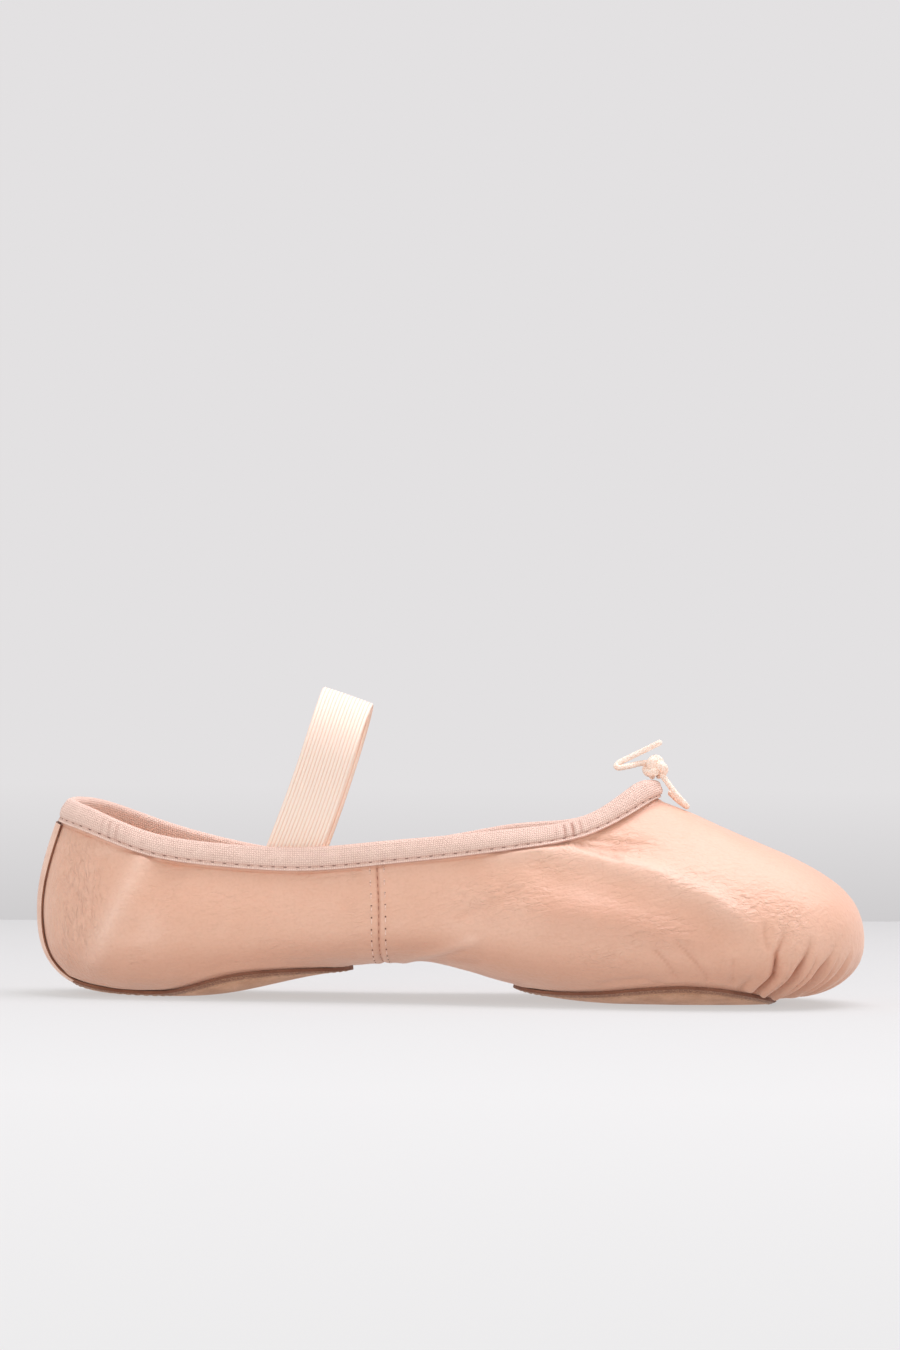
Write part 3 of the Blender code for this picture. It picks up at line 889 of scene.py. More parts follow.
@dataclass
class Shell:
    """A closed sheet between an outer and an inner grid of points, column by column.

    Both grids are (columns, rows, 3). The inner one may have half the columns. Columns run so that
    along crossed with up points outwards. Where low_rim is zero the two grids stay open at the
    bottom, because they meet there. Cloth is the UV map in mm.
    """

    name: str
    outer: Array
    inner: Array
    around: bool = True
    low_rim: Array | None = None
    cloth: Array | None = None
    attributes: dict[str, Array] = field(default_factory=dict)
    slots: tuple[Finish, ...] = (LEATHER,)
    inner_slot: int = 0
    rim_slot: int = 0

    def rims(self) -> list[tuple[int, ...]]:
        """The faces that join the two grids at their low and high rows, and at open ends.

        Returns:
            The indices of each face.
        """
        columns, rows = self.outer.shape[:2]
        inner_columns, inner_rows = self.inner.shape[:2]
        start = columns * rows
        every = columns // inner_columns
        faces = []
        for column in range(inner_columns if self.around else inner_columns - 1):
            after = (column + 1) % inner_columns
            fine = [(column * every + step) % columns for step in range(every + 1)]
            foot, next_foot = start + column * inner_rows, start + after * inner_rows
            if self.low_rim is None or max(self.low_rim[place] for place in fine) > 0:
                faces.append((foot, next_foot, *(place * rows for place in reversed(fine))))
            top = inner_rows - 1
            faces.append(
                (*(place * rows + rows - 1 for place in fine), next_foot + top, foot + top)
            )
        if not self.around and rows == inner_rows:
            for column, flip in ((0, False), (columns - 1, True)):
                for row in range(rows - 1):
                    low, high = column * rows + row, column * rows + row + 1
                    face = (low, high, start + high, start + low)
                    faces.append(face[::-1] if flip else face)
        return faces

    def build(self) -> bpy.types.Object:
        """Makes the mesh with its UV map, attributes and finishes.

        Returns:
            The object that holds it.
        """
        columns, rows = self.outer.shape[:2]
        points = np.vstack((self.outer.reshape(-1, 3), self.inner.reshape(-1, 3)))
        outside = grid_quads(columns, rows, self.around)
        inside = columns * rows + grid_quads(*self.inner.shape[:2], self.around)[:, ::-1]
        mesh = bpy.data.meshes.new(self.name)
        mesh.from_pydata(points.tolist(), [], [*outside.tolist(), *inside.tolist(), *self.rims()])
        slots = np.zeros(len(mesh.polygons), int)
        slots[len(outside) : len(outside) + len(inside)] = self.inner_slot
        slots[len(outside) + len(inside) :] = self.rim_slot
        mesh.polygons.foreach_set("material_index", slots)
        for name, values in self.attributes.items():
            layer = mesh.attributes.new(name, "FLOAT", "POINT")
            full = np.zeros(len(points))
            full[: columns * rows] = values.reshape(-1)
            layer.data.foreach_set("value", full)
        if self.cloth is not None:
            self.add_cloth_map(mesh, columns, rows)
        for finish in self.slots:
            mesh.materials.append(material(finish))
        tidy_mesh(mesh)
        return add_object(self.name, mesh)

    def add_cloth_map(self, mesh: bpy.types.Mesh, columns: int, rows: int) -> None:
        """Lays the UV map over both sides, unbroken where the columns close.

        Args:
            mesh: The mesh that gets it.
            columns: How many columns the outer grid has.
            rows: How many rows it has.
        """
        every = columns // self.inner.shape[0]
        inner_rows = self.inner.shape[1]
        skip = (rows - 1) / (inner_rows - 1)
        picked = self.cloth[::every][:, [round(row * skip) for row in range(inner_rows)]]
        flat = np.vstack((self.cloth.reshape(-1, 2), picked.reshape(-1, 2)))
        corners = np.zeros(len(mesh.loops), int)
        mesh.loops.foreach_get("vertex_index", corners)
        values = flat[corners]
        if self.around:
            total = 2 * self.cloth[-1, :, 0].max() - self.cloth[-2, :, 0].max()
            counts = np.zeros(len(mesh.polygons), int)
            mesh.polygons.foreach_get("loop_total", counts)
            face = np.repeat(np.arange(len(counts)), counts)
            most = np.full(len(counts), -1e9)
            np.maximum.at(most, face, values[:, 0])
            values[:, 0] += np.where(most[face] - values[:, 0] > total / 2, total, 0)
        mesh.uv_layers.new(name="cloth").data.foreach_set(
            "uv", values.astype(np.float32).reshape(-1)
        )


def tidy_mesh(mesh: bpy.types.Mesh) -> None:
    """Merges points that coincide, drops what has collapsed, and shades the mesh smooth.

    Args:
        mesh: The mesh, which is changed.
    """
    shape = bmesh.new()
    shape.from_mesh(mesh)
    bmesh.ops.remove_doubles(shape, verts=shape.verts, dist=2e-6)
    bmesh.ops.dissolve_degenerate(shape, edges=shape.edges, dist=1e-6)
    loose = [vert for vert in shape.verts if not vert.link_faces]
    bmesh.ops.delete(shape, geom=loose, context="VERTS")
    shape.to_mesh(mesh)
    shape.free()
    mesh.shade_smooth()
    mesh.set_sharp_from_angle(angle=math.radians(50))


def settle(piece: bpy.types.Object, slot: str, *nodes: str) -> bpy.types.Object:
    """Makes a finished piece ride on the shoe.

    Args:
        piece: The piece.
        slot: Its slot; not used.
        nodes: The solids that it stands for, if any.

    Returns:
        The piece.
    """
    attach(piece, "root")
    if nodes:
        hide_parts(*nodes)
    logger.info("%s: %d faces", piece.name, len(piece.data.polygons))
    return piece


def measured(points: Array, axis: int) -> Array:
    """The distance along one axis of a grid of points.

    Args:
        points: The grid.
        axis: The axis.

    Returns:
        Millimetres from the start, for each point.
    """
    steps = np.linalg.norm(np.diff(points, axis=axis), axis=-1) / MM
    zero = np.zeros_like(np.take(steps, [0], axis=axis))
    return np.concatenate((zero, np.cumsum(steps, axis=axis)), axis=axis)


@dataclass(frozen=True)
class Pleat:
    """A fold that fans out from the patch: turns and levels along it, depth and width in mm."""

    turns: tuple[float, ...]
    levels: tuple[float, ...]
    depth: float
    width: float


@dataclass(frozen=True)
class Crease:
    """A line seen from the side, in mm: places as (x, z), depth and width.

    A depth below zero is a ridge, which gets a painted highlight, and dark is how much painted
    shade lies along the line.
    """

    line: tuple[tuple[float, float], ...]
    depth: float
    width: float
    dark: float = 0.3


@dataclass(frozen=True)
class Patch:
    """A place where the leather is finely wrinkled: middle and half sizes in mm, and strength."""

    x: float
    z: float
    wide: float
    tall: float
    strength: float
    upward: bool = False


@dataclass
class Upper:
    """The leather vamp and quarter, with the lining as its inner face.

    Steps counts the columns from each section to the next, and rows the points of a column under
    the foot, up the side and under the tape. Pleats with a turn below zero are on the near side.
    """

    steps: tuple[int, ...] = (36, 42, 42, 32, 28, 26, 26, 26, 26, 22, 18, 16)
    rows: tuple[int, int, int] = (36, 58, 3)
    pleats: tuple[Pleat, ...] = (
        Pleat((-2.55, -2.43, -2.30), (0.40, 0.50, 0.70), 0.8, 0.8),
        Pleat((-2.20, -2.15, -2.03, -2.06, -1.93), (0.34, 0.525, 0.72, 0.935, 1.10), 1.8, 1.0),
        Pleat((-1.98, -1.86, -1.72, -1.55), (0.34, 0.54, 0.76, 1.05), 1.9, 1.1),
        Pleat((-1.60, -1.44, -1.28, -1.08), (0.36, 0.595, 0.805, 1.00), 1.8, 1.1),
        Pleat((-1.10, -0.93, -0.83, -0.72), (0.36, 0.58, 0.765, 0.95), 1.5, 1.0),
        Pleat((-2.00, -1.90, -1.80), (0.52, 0.70, 0.98), 0.6, 0.5),
        Pleat((-1.70, -1.56, -1.42), (0.52, 0.72, 1.00), 0.7, 0.5),
        Pleat((-1.26, -1.12, -1.00), (0.50, 0.70, 0.96), 0.7, 0.5),
        Pleat((-0.62, -0.50, -0.42), (0.36, 0.57, 0.80), 0.9, 0.9),
        Pleat((-0.15, -0.08, -0.05), (0.36, 0.57, 0.78), 0.8, 0.9),
        Pleat((0.30, 0.36, 0.38), (0.36, 0.57, 0.82), 0.9, 0.9),
        Pleat((0.78, 0.76, 0.70), (0.36, 0.60, 0.90), 1.1, 1.0),
        Pleat((1.22, 1.16, 1.06), (0.36, 0.60, 0.95), 1.3, 1.1),
        Pleat((1.66, 1.56, 1.42, 1.34), (0.34, 0.54, 0.76, 1.00), 1.4, 1.1),
        Pleat((2.06, 1.98, 1.90, 1.86), (0.34, 0.54, 0.76, 1.04), 1.3, 1.0),
        Pleat((2.42, 2.34, 2.24), (0.38, 0.52, 0.74), 0.8, 0.8),
    )
    creases: tuple[Crease, ...] = (
        # The shoulder between the lit top and the side of the vamp, with a painted highlight along it,
        # the hollow under it, and a broad band of painted shade lower on the side
        Crease(((8, 41), (24, 44), (40, 42.5), (60, 38), (76, 31.5), (91, 21)), -1.3, 3.0, 0.0),
        Crease(((20, 36.2), (40, 34.3), (62, 28.5), (78, 22), (90, 14)), 1.4, 5.5, 0.0),
        Crease(((20, 28), (36, 27), (50, 25), (68, 21), (86, 15)), 0.0, 13.0, 0.24),
        # Fine creases above the forefoot patch, and the leather's lasted edge
        Crease(((58.5, 18.0), (60.5, 16.0), (63.3, 12.8), (67.2, 6.6)), 0.6, 0.9, 0.45),
        Crease(((64, 20.0), (68, 17.0), (71, 13.6), (74.2, 9.4), (74.6, 6.6)), 0.6, 0.9, 0.45),
        Crease(((82.2, 15.0), (81.9, 11.0), (81.4, 6.0)), 0.5, 0.9, 0.4),
        Crease(((41, 5.6), (49.9, 7.6), (57, 8.2), (64.5, 6.2)), 0.5, 0.9, 0.4),
        Crease(((81.6, 3.2), (84.2, 6.0), (87.6, 9.4)), 0.5, 0.9, 0.4),
        Crease(((92, 16.5), (90.5, 21.0), (90.5, 25.0)), 0.3, 1.0, 0.25),
        # Drag lines under the tape where the throat starts
        Crease(((35, 46.8), (43, 44.8), (53, 44.4)), 0.6, 0.9, 0.4),
        Crease(((38, 48.4), (47, 46.6), (58, 46.8)), 0.5, 0.8, 0.35),
        Crease(((35, 46.0), (44, 42.8), (51, 41.0)), 0.45, 0.8, 0.35),
        # The edge between the side and the arch, with a painted highlight along it and painted shade
        # in the wedge under it
        Crease(
            ((-17, 10.2), (-11, 12.0), (-3, 14.2), (2, 16.2), (7, 18.0), (11, 19.0)), -0.8, 1.4, 0.0
        ),
        Crease(((-14, 11.2), (-3, 12.8), (2, 14.4), (8, 16.2)), 0.35, 1.7, 0.50),
        Crease(((-13, 10.6), (-4, 11.2), (5, 12.0), (13, 11.5)), 0.2, 3.8, 0.50),
        Crease(((-14, 10.0), (-2, 9.6), (8, 8.2), (18, 6.0), (27, 4.0)), 0.0, 3.2, 0.60),
        Crease(((2, 24.5), (12, 29.0), (22, 34.0)), 0.35, 2.2, 0.1),
        # The soft ridge of the heel's cup, with a painted highlight along it
        Crease(((-86, 44), (-89, 36), (-94, 26), (-100, 14), (-104, 5)), -1.5, 3.4, 0.0),
        Crease(((-76, 43), (-80, 36), (-85, 26), (-91, 14)), 1.0, 4.5, 0.0),
        Crease(((-98, 44), (-100, 34), (-103, 24)), 0.5, 2.6, 0.05),
        Crease(((-58, 12.5), (-72, 11.0), (-84, 8.6)), 0.25, 2.6, 0.05),
        Crease(((-26, 14), (-21, 13.2), (-14, 13.6)), -0.3, 2.0, 0.0),
    )
    wrinkles: tuple[Patch, ...] = (
        Patch(50, 46, 12, 5, 1.0),
        Patch(70, 36, 14, 5, 0.9),
        Patch(84, 30, 12, 6, 1.0),
        Patch(97, 25, 7, 7, 1.0),
        Patch(100, 17, 8, 6, 0.5),
        Patch(60, 22, 14, 7, 0.85),
        Patch(14, 30, 18, 8, 1.0),
        Patch(45, 14, 13, 6, 0.8),
        Patch(30, 41, 10, 4, 0.8),
        Patch(-80, 29, 8, 14, 0.65),
        Patch(-64, 29, 16, 9, 0.5),
        Patch(-38, 37, 14, 5, 0.7),
        Patch(-24, 22, 8, 12, 0.6),
        Patch(-48, 16, 10, 5, 0.6),
        Patch(-88, 12, 6, 4, 0.8),
        Patch(-106, 28, 8, 22, 1.5, True),
        Patch(-109, 16, 6, 12, 1.3, True),
        Patch(-26, 37, 7, 4, 0.7),
        Patch(-92, 30, 5, 10, 0.5),
    )
    all_over: float = 0.32
    seam_turn: float = 6.965
    seam_levels: tuple[float, float] = (0.30, 1.93)
    stitch_pitch: float = 3.4 * MM
    far_shift: float = 3.0

    def turns(self) -> Array:
        """The turns of the columns, from the heel round by the -Y side, the same on both sides.

        Returns:
            The turns.
        """
        half = [
            place + step / count for place, count in enumerate(self.steps) for step in range(count)
        ]
        return np.roll(sorted([*half, HEEL, *(TURNS - turn for turn in half[1:])]), -len(half))

    def levels(self, turns: Array) -> Array:
        """The levels of the rows in each column, from the opening to the top edge.

        Args:
            turns: The turns of the columns.

        Returns:
            A row of levels for each turn.
        """
        low = LAST.opening_level(turns)[:, None]
        under, side, band = self.rows
        rising = low + (1 - low) * np.linspace(0, 1, under, endpoint=False)
        upper = np.concatenate(
            (np.linspace(1, 2, side, endpoint=False), np.linspace(2, 3, band + 1))
        )
        return np.hstack((rising, np.broadcast_to(upper, (len(turns), len(upper)))))

    def folds(self, turn: Array, level: Array, places: Array) -> tuple[Array, Array, Array]:
        """The pleats and creases.

        Args:
            turn: Turns of the grid.
            level: Levels of the grid.
            places: The grid's points.

        Returns:
            How far the leather moves outwards, its painted shade, and its painted highlight on ridges.
        """
        metric = LAST.metre_per_turn(turn, level) / MM
        moved, dark, pale = np.zeros(turn.shape), np.zeros(turn.shape), np.zeros(turn.shape)
        for pleat in self.pleats:
            line = np.interp(level, pleat.levels, pleat.turns)
            away = (np.mod(turn - line + HEEL, TURNS) - HEEL) * metric
            first, last = pleat.levels[0], pleat.levels[-1]
            room = smooth_step(first - 0.05, first + 0.1, level)
            room = room * (1 - smooth_step(last - 0.30, last + 0.05, level))
            groove = np.exp(-((np.abs(away) / pleat.width) ** 1.25))
            puff = np.exp(-(((np.abs(away) - 2.6 * pleat.width) / (1.7 * pleat.width)) ** 2))
            # The leather puffs up on both sides of the groove
            moved += room * pleat.depth * (0.50 * puff - groove)
            # Painted shade lies in the groove
            shade = (
                np.exp(-((np.abs(away) / (0.65 * pleat.width)) ** 2)) * min(1, pleat.depth / 1.25)
            )
            dark = np.maximum(dark, room * shade)
        # Creases are drawn as the photograph shows them, and shifted a little on the far side
        side = np.stack((places[..., 0], places[..., 2]), -1) / MM
        for near in (True, False):
            shown = places[..., 1] < 0 if near else places[..., 1] >= 0
            for crease in self.creases:
                line = np.array(crease.line, float)
                if not near:
                    line = line + np.array((self.far_shift * math.sin(line[0, 0]), 0.0))
                gap, along = distance_to_line(side, line)
                room = smooth_step(0, 0.18, along) * (1 - smooth_step(0.82, 1, along)) * shown
                body = room * np.exp(-((gap / crease.width) ** 2))
                moved -= crease.depth * body
                # Painted shade lies along the line
                dark = np.maximum(
                    dark, crease.dark * room * np.exp(-((gap / (0.6 * crease.width)) ** 2))
                )
                # A ridge gets a painted highlight
                pale = np.maximum(pale, min(1, -crease.depth) * body)
        return moved * MM, dark, pale

    def relief(self, turn: Array, level: Array, places: Array) -> tuple[Array, dict[str, Array]]:
        """The whole relief of the leather, with its seam, its edges and its fine waves.

        Args:
            turn: Turns of the grid.
            level: Levels of the grid.
            places: The grid's points.

        Returns:
            How far the leather moves outwards at each point, and the attributes of its finish.
        """
        moved, dark, pale = self.folds(turn, level, places)
        moved += (
            0.30 * MM * noise_at(places, 16 * MM, 3.1) + 0.10 * MM * noise_at(places, 5 * MM, 7.7)
        )
        side = np.abs(np.mod(turn + HEEL, TURNS) - HEEL)
        metric = LAST.metre_per_turn(turn, level) / MM
        # The side seam is a shallow trough between two rows of stitches, with painted shade along it
        across = (side - self.seam_turn) * metric
        banks = 0.22 * np.exp(-(((np.abs(across) - 1.6) / 1.3) ** 2))
        moved += (banks - 0.42 * np.exp(-((across / 0.55) ** 2))) * MM
        dark = np.maximum(dark, 0.60 * np.exp(-((across / 0.38) ** 2)) * (level > 0.1))
        # The leather puffs out over the suede's edge, 40 mm of it to a level, with painted shade in
        # the groove along the edge
        edge = LAST.level_at(turn, LAST.reach(turn))
        gap = (level - edge) * 40
        patched = smooth_step(0.0, 4 * MM, LAST.reach(turn))
        bulge = 0.30 * np.exp(-(((gap - 2.0) / 1.5) ** 2)) - 0.25 * np.exp(-((gap / 0.6) ** 2))
        moved += patched * bulge * MM
        dark = np.maximum(dark, patched * 0.35 * np.exp(-((gap / 0.7) ** 2)))
        # Painted shade darkens the leather under the foot
        dark = np.maximum(dark, 0.36 * (1 - smooth_step(0.70, 1.02, level)))
        # At the tape it is gathered every 3.2 mm and drawn in
        gathers = np.exp(-(((side - GATHER_TURN) / 0.30) ** 2)) * smooth_step(1.75, 1.98, level)
        moved += 0.28 * MM * gathers * np.sin(side * metric * 2 * math.pi / 3.2)
        moved -= 0.20 * MM * np.exp(-(((level - TUCK_LEVEL) / 0.02) ** 2))
        # A line of painted shade lies just under the tape's lower edge
        dark = np.maximum(dark, 0.4 * np.exp(-(((level - 1.99) / 0.012) ** 2)))
        # Nothing moves where the leather goes under the suede or the tape
        free = smooth_step(0.0, 0.06, level - edge * patched)
        free = free * (1 - smooth_step(TUCK_LEVEL, 2.0, level))
        masks = {"wrinkle_along": np.zeros(turn.shape), "wrinkle_up": np.zeros(turn.shape)}
        for patch in self.wrinkles:
            name = "wrinkle_up" if patch.upward else "wrinkle_along"
            away = ((places[..., 0] / MM - patch.x) / patch.wide) ** 2
            away = away + ((places[..., 2] / MM - patch.z) / patch.tall) ** 2
            masks[name] = np.maximum(masks[name], patch.strength * np.exp(-away))
        masks["wrinkle_along"] = np.maximum(masks["wrinkle_along"], self.all_over)
        return moved * free, {"fold": dark, "ridge_highlight": pale, **masks}

    def seam_paths(
        self, out: float, skip: float, rows: tuple[float, ...] = (-2.0, 2.0)
    ) -> list[Array]:
        """The rows of stitches beside the two side seams.

        Args:
            out: How far outside the leather they lie, in metres.
            skip: How much of the start of each row is left out, in metres.
            rows: Where each row lies beside the seam, in mm.

        Returns:
            A path for each row.
        """
        paths = []
        for hand in (1, -1):
            for beside in np.array(rows) * MM:
                level = np.linspace(*self.seam_levels, 60)
                turn = np.full(level.shape, self.seam_turn if hand > 0 else TURNS - self.seam_turn)
                turn = turn + beside / LAST.metre_per_turn(turn, level)
                places = LAST.point(turn, level)[:, None]
                moved, _ = self.relief(turn[:, None], level[:, None], places)
                path = LAST.offset(turn, level, moved[:, 0] + out)
                length = measured(path[None], 1)[0] * MM
                paths.append(path[length >= skip])
        return paths

    def build(self) -> bpy.types.Object:
        """Makes the leather with its lining inside.

        Returns:
            The piece.
        """
        turns = self.turns()
        level = self.levels(turns)
        turn = np.broadcast_to(turns[:, None], level.shape)
        places = LAST.point(turn, level)
        moved, attributes = self.relief(turn, level, places)
        outer = places + moved[..., None] * LAST.normal(turn, level)
        # The lining has half the columns and rows, and follows the hollows of the leather
        few = slice(0, None, 2)
        inner_level = np.hstack((level[few, :-1:2], level[few, -1:]))
        inner_turn = np.broadcast_to(turns[few, None], inner_level.shape)
        inner = LAST.offset(inner_turn, inner_level, -LAST.leather)
        sunk = np.hstack((moved[few, :-1:2], moved[few, -1:]))
        inner = (
            inner + (np.minimum(sunk, 0) * 0.8)[..., None] * LAST.normal(inner_turn, inner_level)
        )
        cloth = np.stack((measured(places, 0), measured(places, 1)), -1)
        return Shell(
            "leather_upper", outer, inner, low_rim=LAST.opening_level(turns), cloth=cloth,
            attributes=attributes, slots=(LEATHER, LINING), inner_slot=1,
        ).build()


@dataclass
class SuedePatches:
    """The two patches of the split sole, the heel's one with its tail, and their stitches."""

    columns: int = 240
    rows: int = 22
    tail_half_turn: float = 1 / 3
    stitch_pitch: float = 2.6 * MM
    stitch_inset: float = 2.0 * MM

    def turns(self, forefoot: bool) -> Array:
        """The turns of a patch's columns, from end to end, the same on both sides.

        Args:
            forefoot: Whether it is the forefoot's patch.

        Returns:
            The turns.
        """
        # The forefoot's suede ends between turns 4 and 6, and the heel's starts between 7 and 9
        if forefoot:
            end = LAST.patch_end(4.0, 6.0)
            half = end * np.sin(np.linspace(0, math.pi / 2, self.columns // 2 + 1))
            return np.concatenate((-half[:0:-1], half))
        start = LAST.patch_end(9.0, 7.0)
        half = HEEL - (HEEL - start) * np.sin(np.linspace(0, math.pi / 2, self.columns // 2 + 1))
        return np.concatenate((half[::-1], TURNS - half[1:]))

    def build_patch(self, name: str, forefoot: bool) -> bpy.types.Object:
        """Makes one patch, with a raw cut edge.

        Args:
            name: The piece's name.
            forefoot: Whether it is the forefoot's patch.

        Returns:
            The piece.
        """
        turns = self.turns(forefoot)
        share = np.sin(np.linspace(0, math.pi / 2, self.rows + 1))[None, :]
        fray = 1 + 0.004 * noise_at(np.stack((turns * 3, turns * 0, turns * 0), -1), 0.1, 2.0)
        level = LAST.level_at(turns, LAST.reach(turns) * fray)[:, None] * share
        turn = np.broadcast_to(turns[:, None], level.shape)
        thin = 1 - 0.25 * smooth_step(0.93, 1.0, share)
        outer = LAST.offset(turn, level, LAST.gap + LAST.suede * thin)
        outer[..., 2] = np.maximum(outer[..., 2], 0.0)
        inner = LAST.offset(turn, level, LAST.gap)
        band = 1 - smooth_step(1.2 * MM, 2.6 * MM, LAST.reach(turns)[:, None] * (1 - share))
        return Shell(
            name, outer, inner, around=False, low_rim=np.zeros(len(turns)),
            attributes={"fold": band}, slots=(SUEDE, RAW_EDGE), rim_slot=1,
        ).build()

    def build_tail(self) -> bpy.types.Object:
        """Makes the narrow tail up the heel's back.

        Returns:
            The piece.
        """
        turns = np.linspace(HEEL - self.tail_half_turn, HEEL + self.tail_half_turn, 13)
        low = LAST.level_at(turns, LAST.reach(turns))[:, None] - 0.03
        rise = np.concatenate((np.linspace(0, 0.5, 30, endpoint=False), np.linspace(0.5, 1, 40)))
        level = low + (TUCK_LEVEL - low) * rise[None, :]
        turn = np.broadcast_to(turns[:, None], level.shape)
        aside = np.minimum(1, np.abs(turn - HEEL) / self.tail_half_turn)
        outer = LAST.offset(
            turn, level, LAST.gap + LAST.suede * (0.40 + 0.60 * np.sqrt(1 - aside**3))
        )
        inner = LAST.offset(turn, level, LAST.gap)
        return Shell(
            "heel_tail", outer, inner, around=False, slots=(TAIL, RAW_EDGE), rim_slot=1
        ).build()

    def edge_path(self, forefoot: bool) -> Array:
        """The line of stitches inside a patch's edge.

        Args:
            forefoot: Whether it is the forefoot's patch.

        Returns:
            The path.
        """
        turns = self.turns(forefoot)
        turns = turns[LAST.reach(turns) > 6 * MM]
        level = LAST.level_at(turns, LAST.reach(turns) - self.stitch_inset)
        return LAST.offset(turns, level, LAST.gap + LAST.suede)


@dataclass
class CollarTape:
    """The canvas tape round the collar, folded over the leather's top edge, with its topstitch.

    Hem is the height of the stitched hollow above the tape's lower edge.
    """

    columns: int = 480
    rows: int = 10
    hem: float = 1.35 * MM
    stitch_pitch: float = 3.5 * MM

    def turns(self) -> Array:
        """Even turns from the heel, closer where the collar is long.

        Returns:
            The turns of the columns.
        """
        fine = np.linspace(HEEL, HEEL + TURNS, 2401)
        top = LAST.point(fine, 2.5)
        length = np.concatenate(([0], np.cumsum(np.linalg.norm(np.diff(top, axis=0), axis=1))))
        return np.interp(np.linspace(0, length[-1], self.columns + 1), length, fine)[:-1]

    def ripple(self, turn: Array, share: Array) -> tuple[Array, Array]:
        """The slack of the tape: waves, gathers and the hem.

        Args:
            turn: Turns of the grid.
            share: How far up the tape its points lie, 0 to 1.

        Returns:
            How far the tape moves outwards, and the painted shade in its gathers and at the hem.
        """
        side = np.abs(np.mod(turn + HEEL, TURNS) - HEEL)
        metric = LAST.metre_per_turn(turn, np.full(turn.shape, 2.5)) / MM
        along = np.cumsum(np.gradient(turn[:, 0]) * metric[:, 0])[:, None]
        heel = LAST.turn_at_place(0.095, 3.0)
        pulled = np.exp(-(((side - GATHER_TURN) / 0.26) ** 2))
        pulled = pulled + 0.5 * np.exp(-(((side - heel) / 0.22) ** 2))
        gathers = pulled * np.sin(along * 2 * math.pi / 2.6)
        seat = LAST.point(turn, 2.5)
        loose = noise_at(seat, 9 * MM, 5.0) * 0.22 + noise_at(seat, 3.5 * MM, 9.0) * 0.10
        height = share * LAST.tape_height / MM
        above = height - self.hem / MM
        rise = np.clip(above / (LAST.tape_height / MM - self.hem / MM), 0, 1)
        swell = np.sin(rise * math.pi) ** 0.8 * (0.45 + 0.45 * gathers)
        lift = -0.30 * np.exp(-((above / 0.45) ** 2)) + swell + loose * np.minimum(1, height / 2)
        # Painted shade in the hollows of the gathers and along the hem's stitch line
        dark = 0.55 * np.clip(-gathers, 0, 1) * smooth_step(0.8, 2.0, height)
        return lift * MM, dark + 0.35 * np.exp(-((above / 0.30) ** 2))

    def build(self) -> bpy.types.Object:
        """Makes the tape: up the outside, round the edge and down the inside.

        Returns:
            The piece.
        """
        turns = self.turns()
        foot = LAST.tape_foot
        share = np.linspace(0, 1, self.rows + 1)
        level = foot + (3 - foot) * share
        turn = np.broadcast_to(turns[:, None], (len(turns), len(level)))
        levels = np.broadcast_to(level[None, :], turn.shape)
        lift, dark = self.ripple(turn, np.broadcast_to(share[None, :], turn.shape))
        up = LAST.point(turns, 3.0) - LAST.point(turns, foot)
        up = up / np.linalg.norm(up, axis=-1, keepdims=True)
        faces = []
        # The outer face waves with the slack. The inner face lies just outside the leather
        for out, slack in ((LAST.gap + LAST.tape, lift), (LAST.gap, np.zeros(lift.shape))):
            outside = LAST.offset(turn, levels, out + slack)
            inside = LAST.offset(turn, levels, -LAST.leather - out - 0.5 * np.abs(slack))[:, ::-1]
            top, across = (outside[:, -1] + inside[:, 0]) / 2, (outside[:, -1] - inside[:, 0]) / 2
            arch = [
                top + across * math.cos(angle) + up * (LAST.leather / 2 + out) * math.sin(angle)
                for angle in np.linspace(0, math.pi, 10)[1:-1]
            ]
            faces.append(np.concatenate((outside, np.stack(arch, 1), inside), 1))
        outer, inner = faces
        cloth = np.stack((measured(outer, 0), measured(outer, 1)), -1)
        cloth[..., 0] = cloth[:, self.rows // 2 : self.rows // 2 + 1, 0]
        folds = np.zeros(outer.shape[:2])
        folds[:, : dark.shape[1]] = dark
        return Shell(
            "canvas_collar_tape", outer, inner, cloth=cloth, attributes={"fold": folds},
            slots=(TAPE,),
        ).build()

    def stitch_path(self, out: float, skip: int) -> Array:
        """The line of the topstitch on the cloth.

        Args:
            out: How far outside the cloth it lies, in metres.
            skip: How many points later it starts.

        Returns:
            The path.
        """
        turns = self.turns()
        share = np.full((len(turns), 1), self.hem / LAST.tape_height)
        lift, _ = self.ripple(turns[:, None], share)
        level = LAST.tape_foot + (3 - LAST.tape_foot) * share[:, 0]
        path = LAST.offset(turns, level, LAST.gap + LAST.tape + lift[:, 0] + out)
        return np.roll(path, -skip, axis=0)


@dataclass
class Insoles:
    """The two cotton pads inside, over the leather's openings."""

    columns: int = 160
    rows: int = 20

    def build_pad(self, name: str, forefoot: bool) -> bpy.types.Object:
        """Makes one pad with a softly rounded edge.

        Args:
            name: The piece's name.
            forefoot: Whether it is the forefoot's pad.

        Returns:
            The piece.
        """
        turns = SuedePatches(columns=self.columns).turns(forefoot)
        share = np.sin(np.linspace(0, math.pi / 2, self.rows + 1))[None, :]
        level = LAST.level_at(turns, LAST.reach(turns))[:, None] * share
        turn = np.broadcast_to(turns[:, None], level.shape)
        under = LAST.offset(turn, level, -LAST.leather - LAST.gap)
        quilt = 0.12 * MM * noise_at(LAST.point(turn, level), 12 * MM, 4.0)
        rounded = np.sqrt(np.maximum(0.05, 1 - smooth_step(0.9, 1.0, share)))
        over = LAST.offset(turn, level, -LAST.leather - LAST.gap - (LAST.insole + quilt) * rounded)
        cloth = LAST.point(turn, level)[..., :2] / MM
        return Shell(
            name, under, over, around=False, low_rim=np.zeros(len(turns)), cloth=cloth,
            slots=(PAD,),
        ).build()


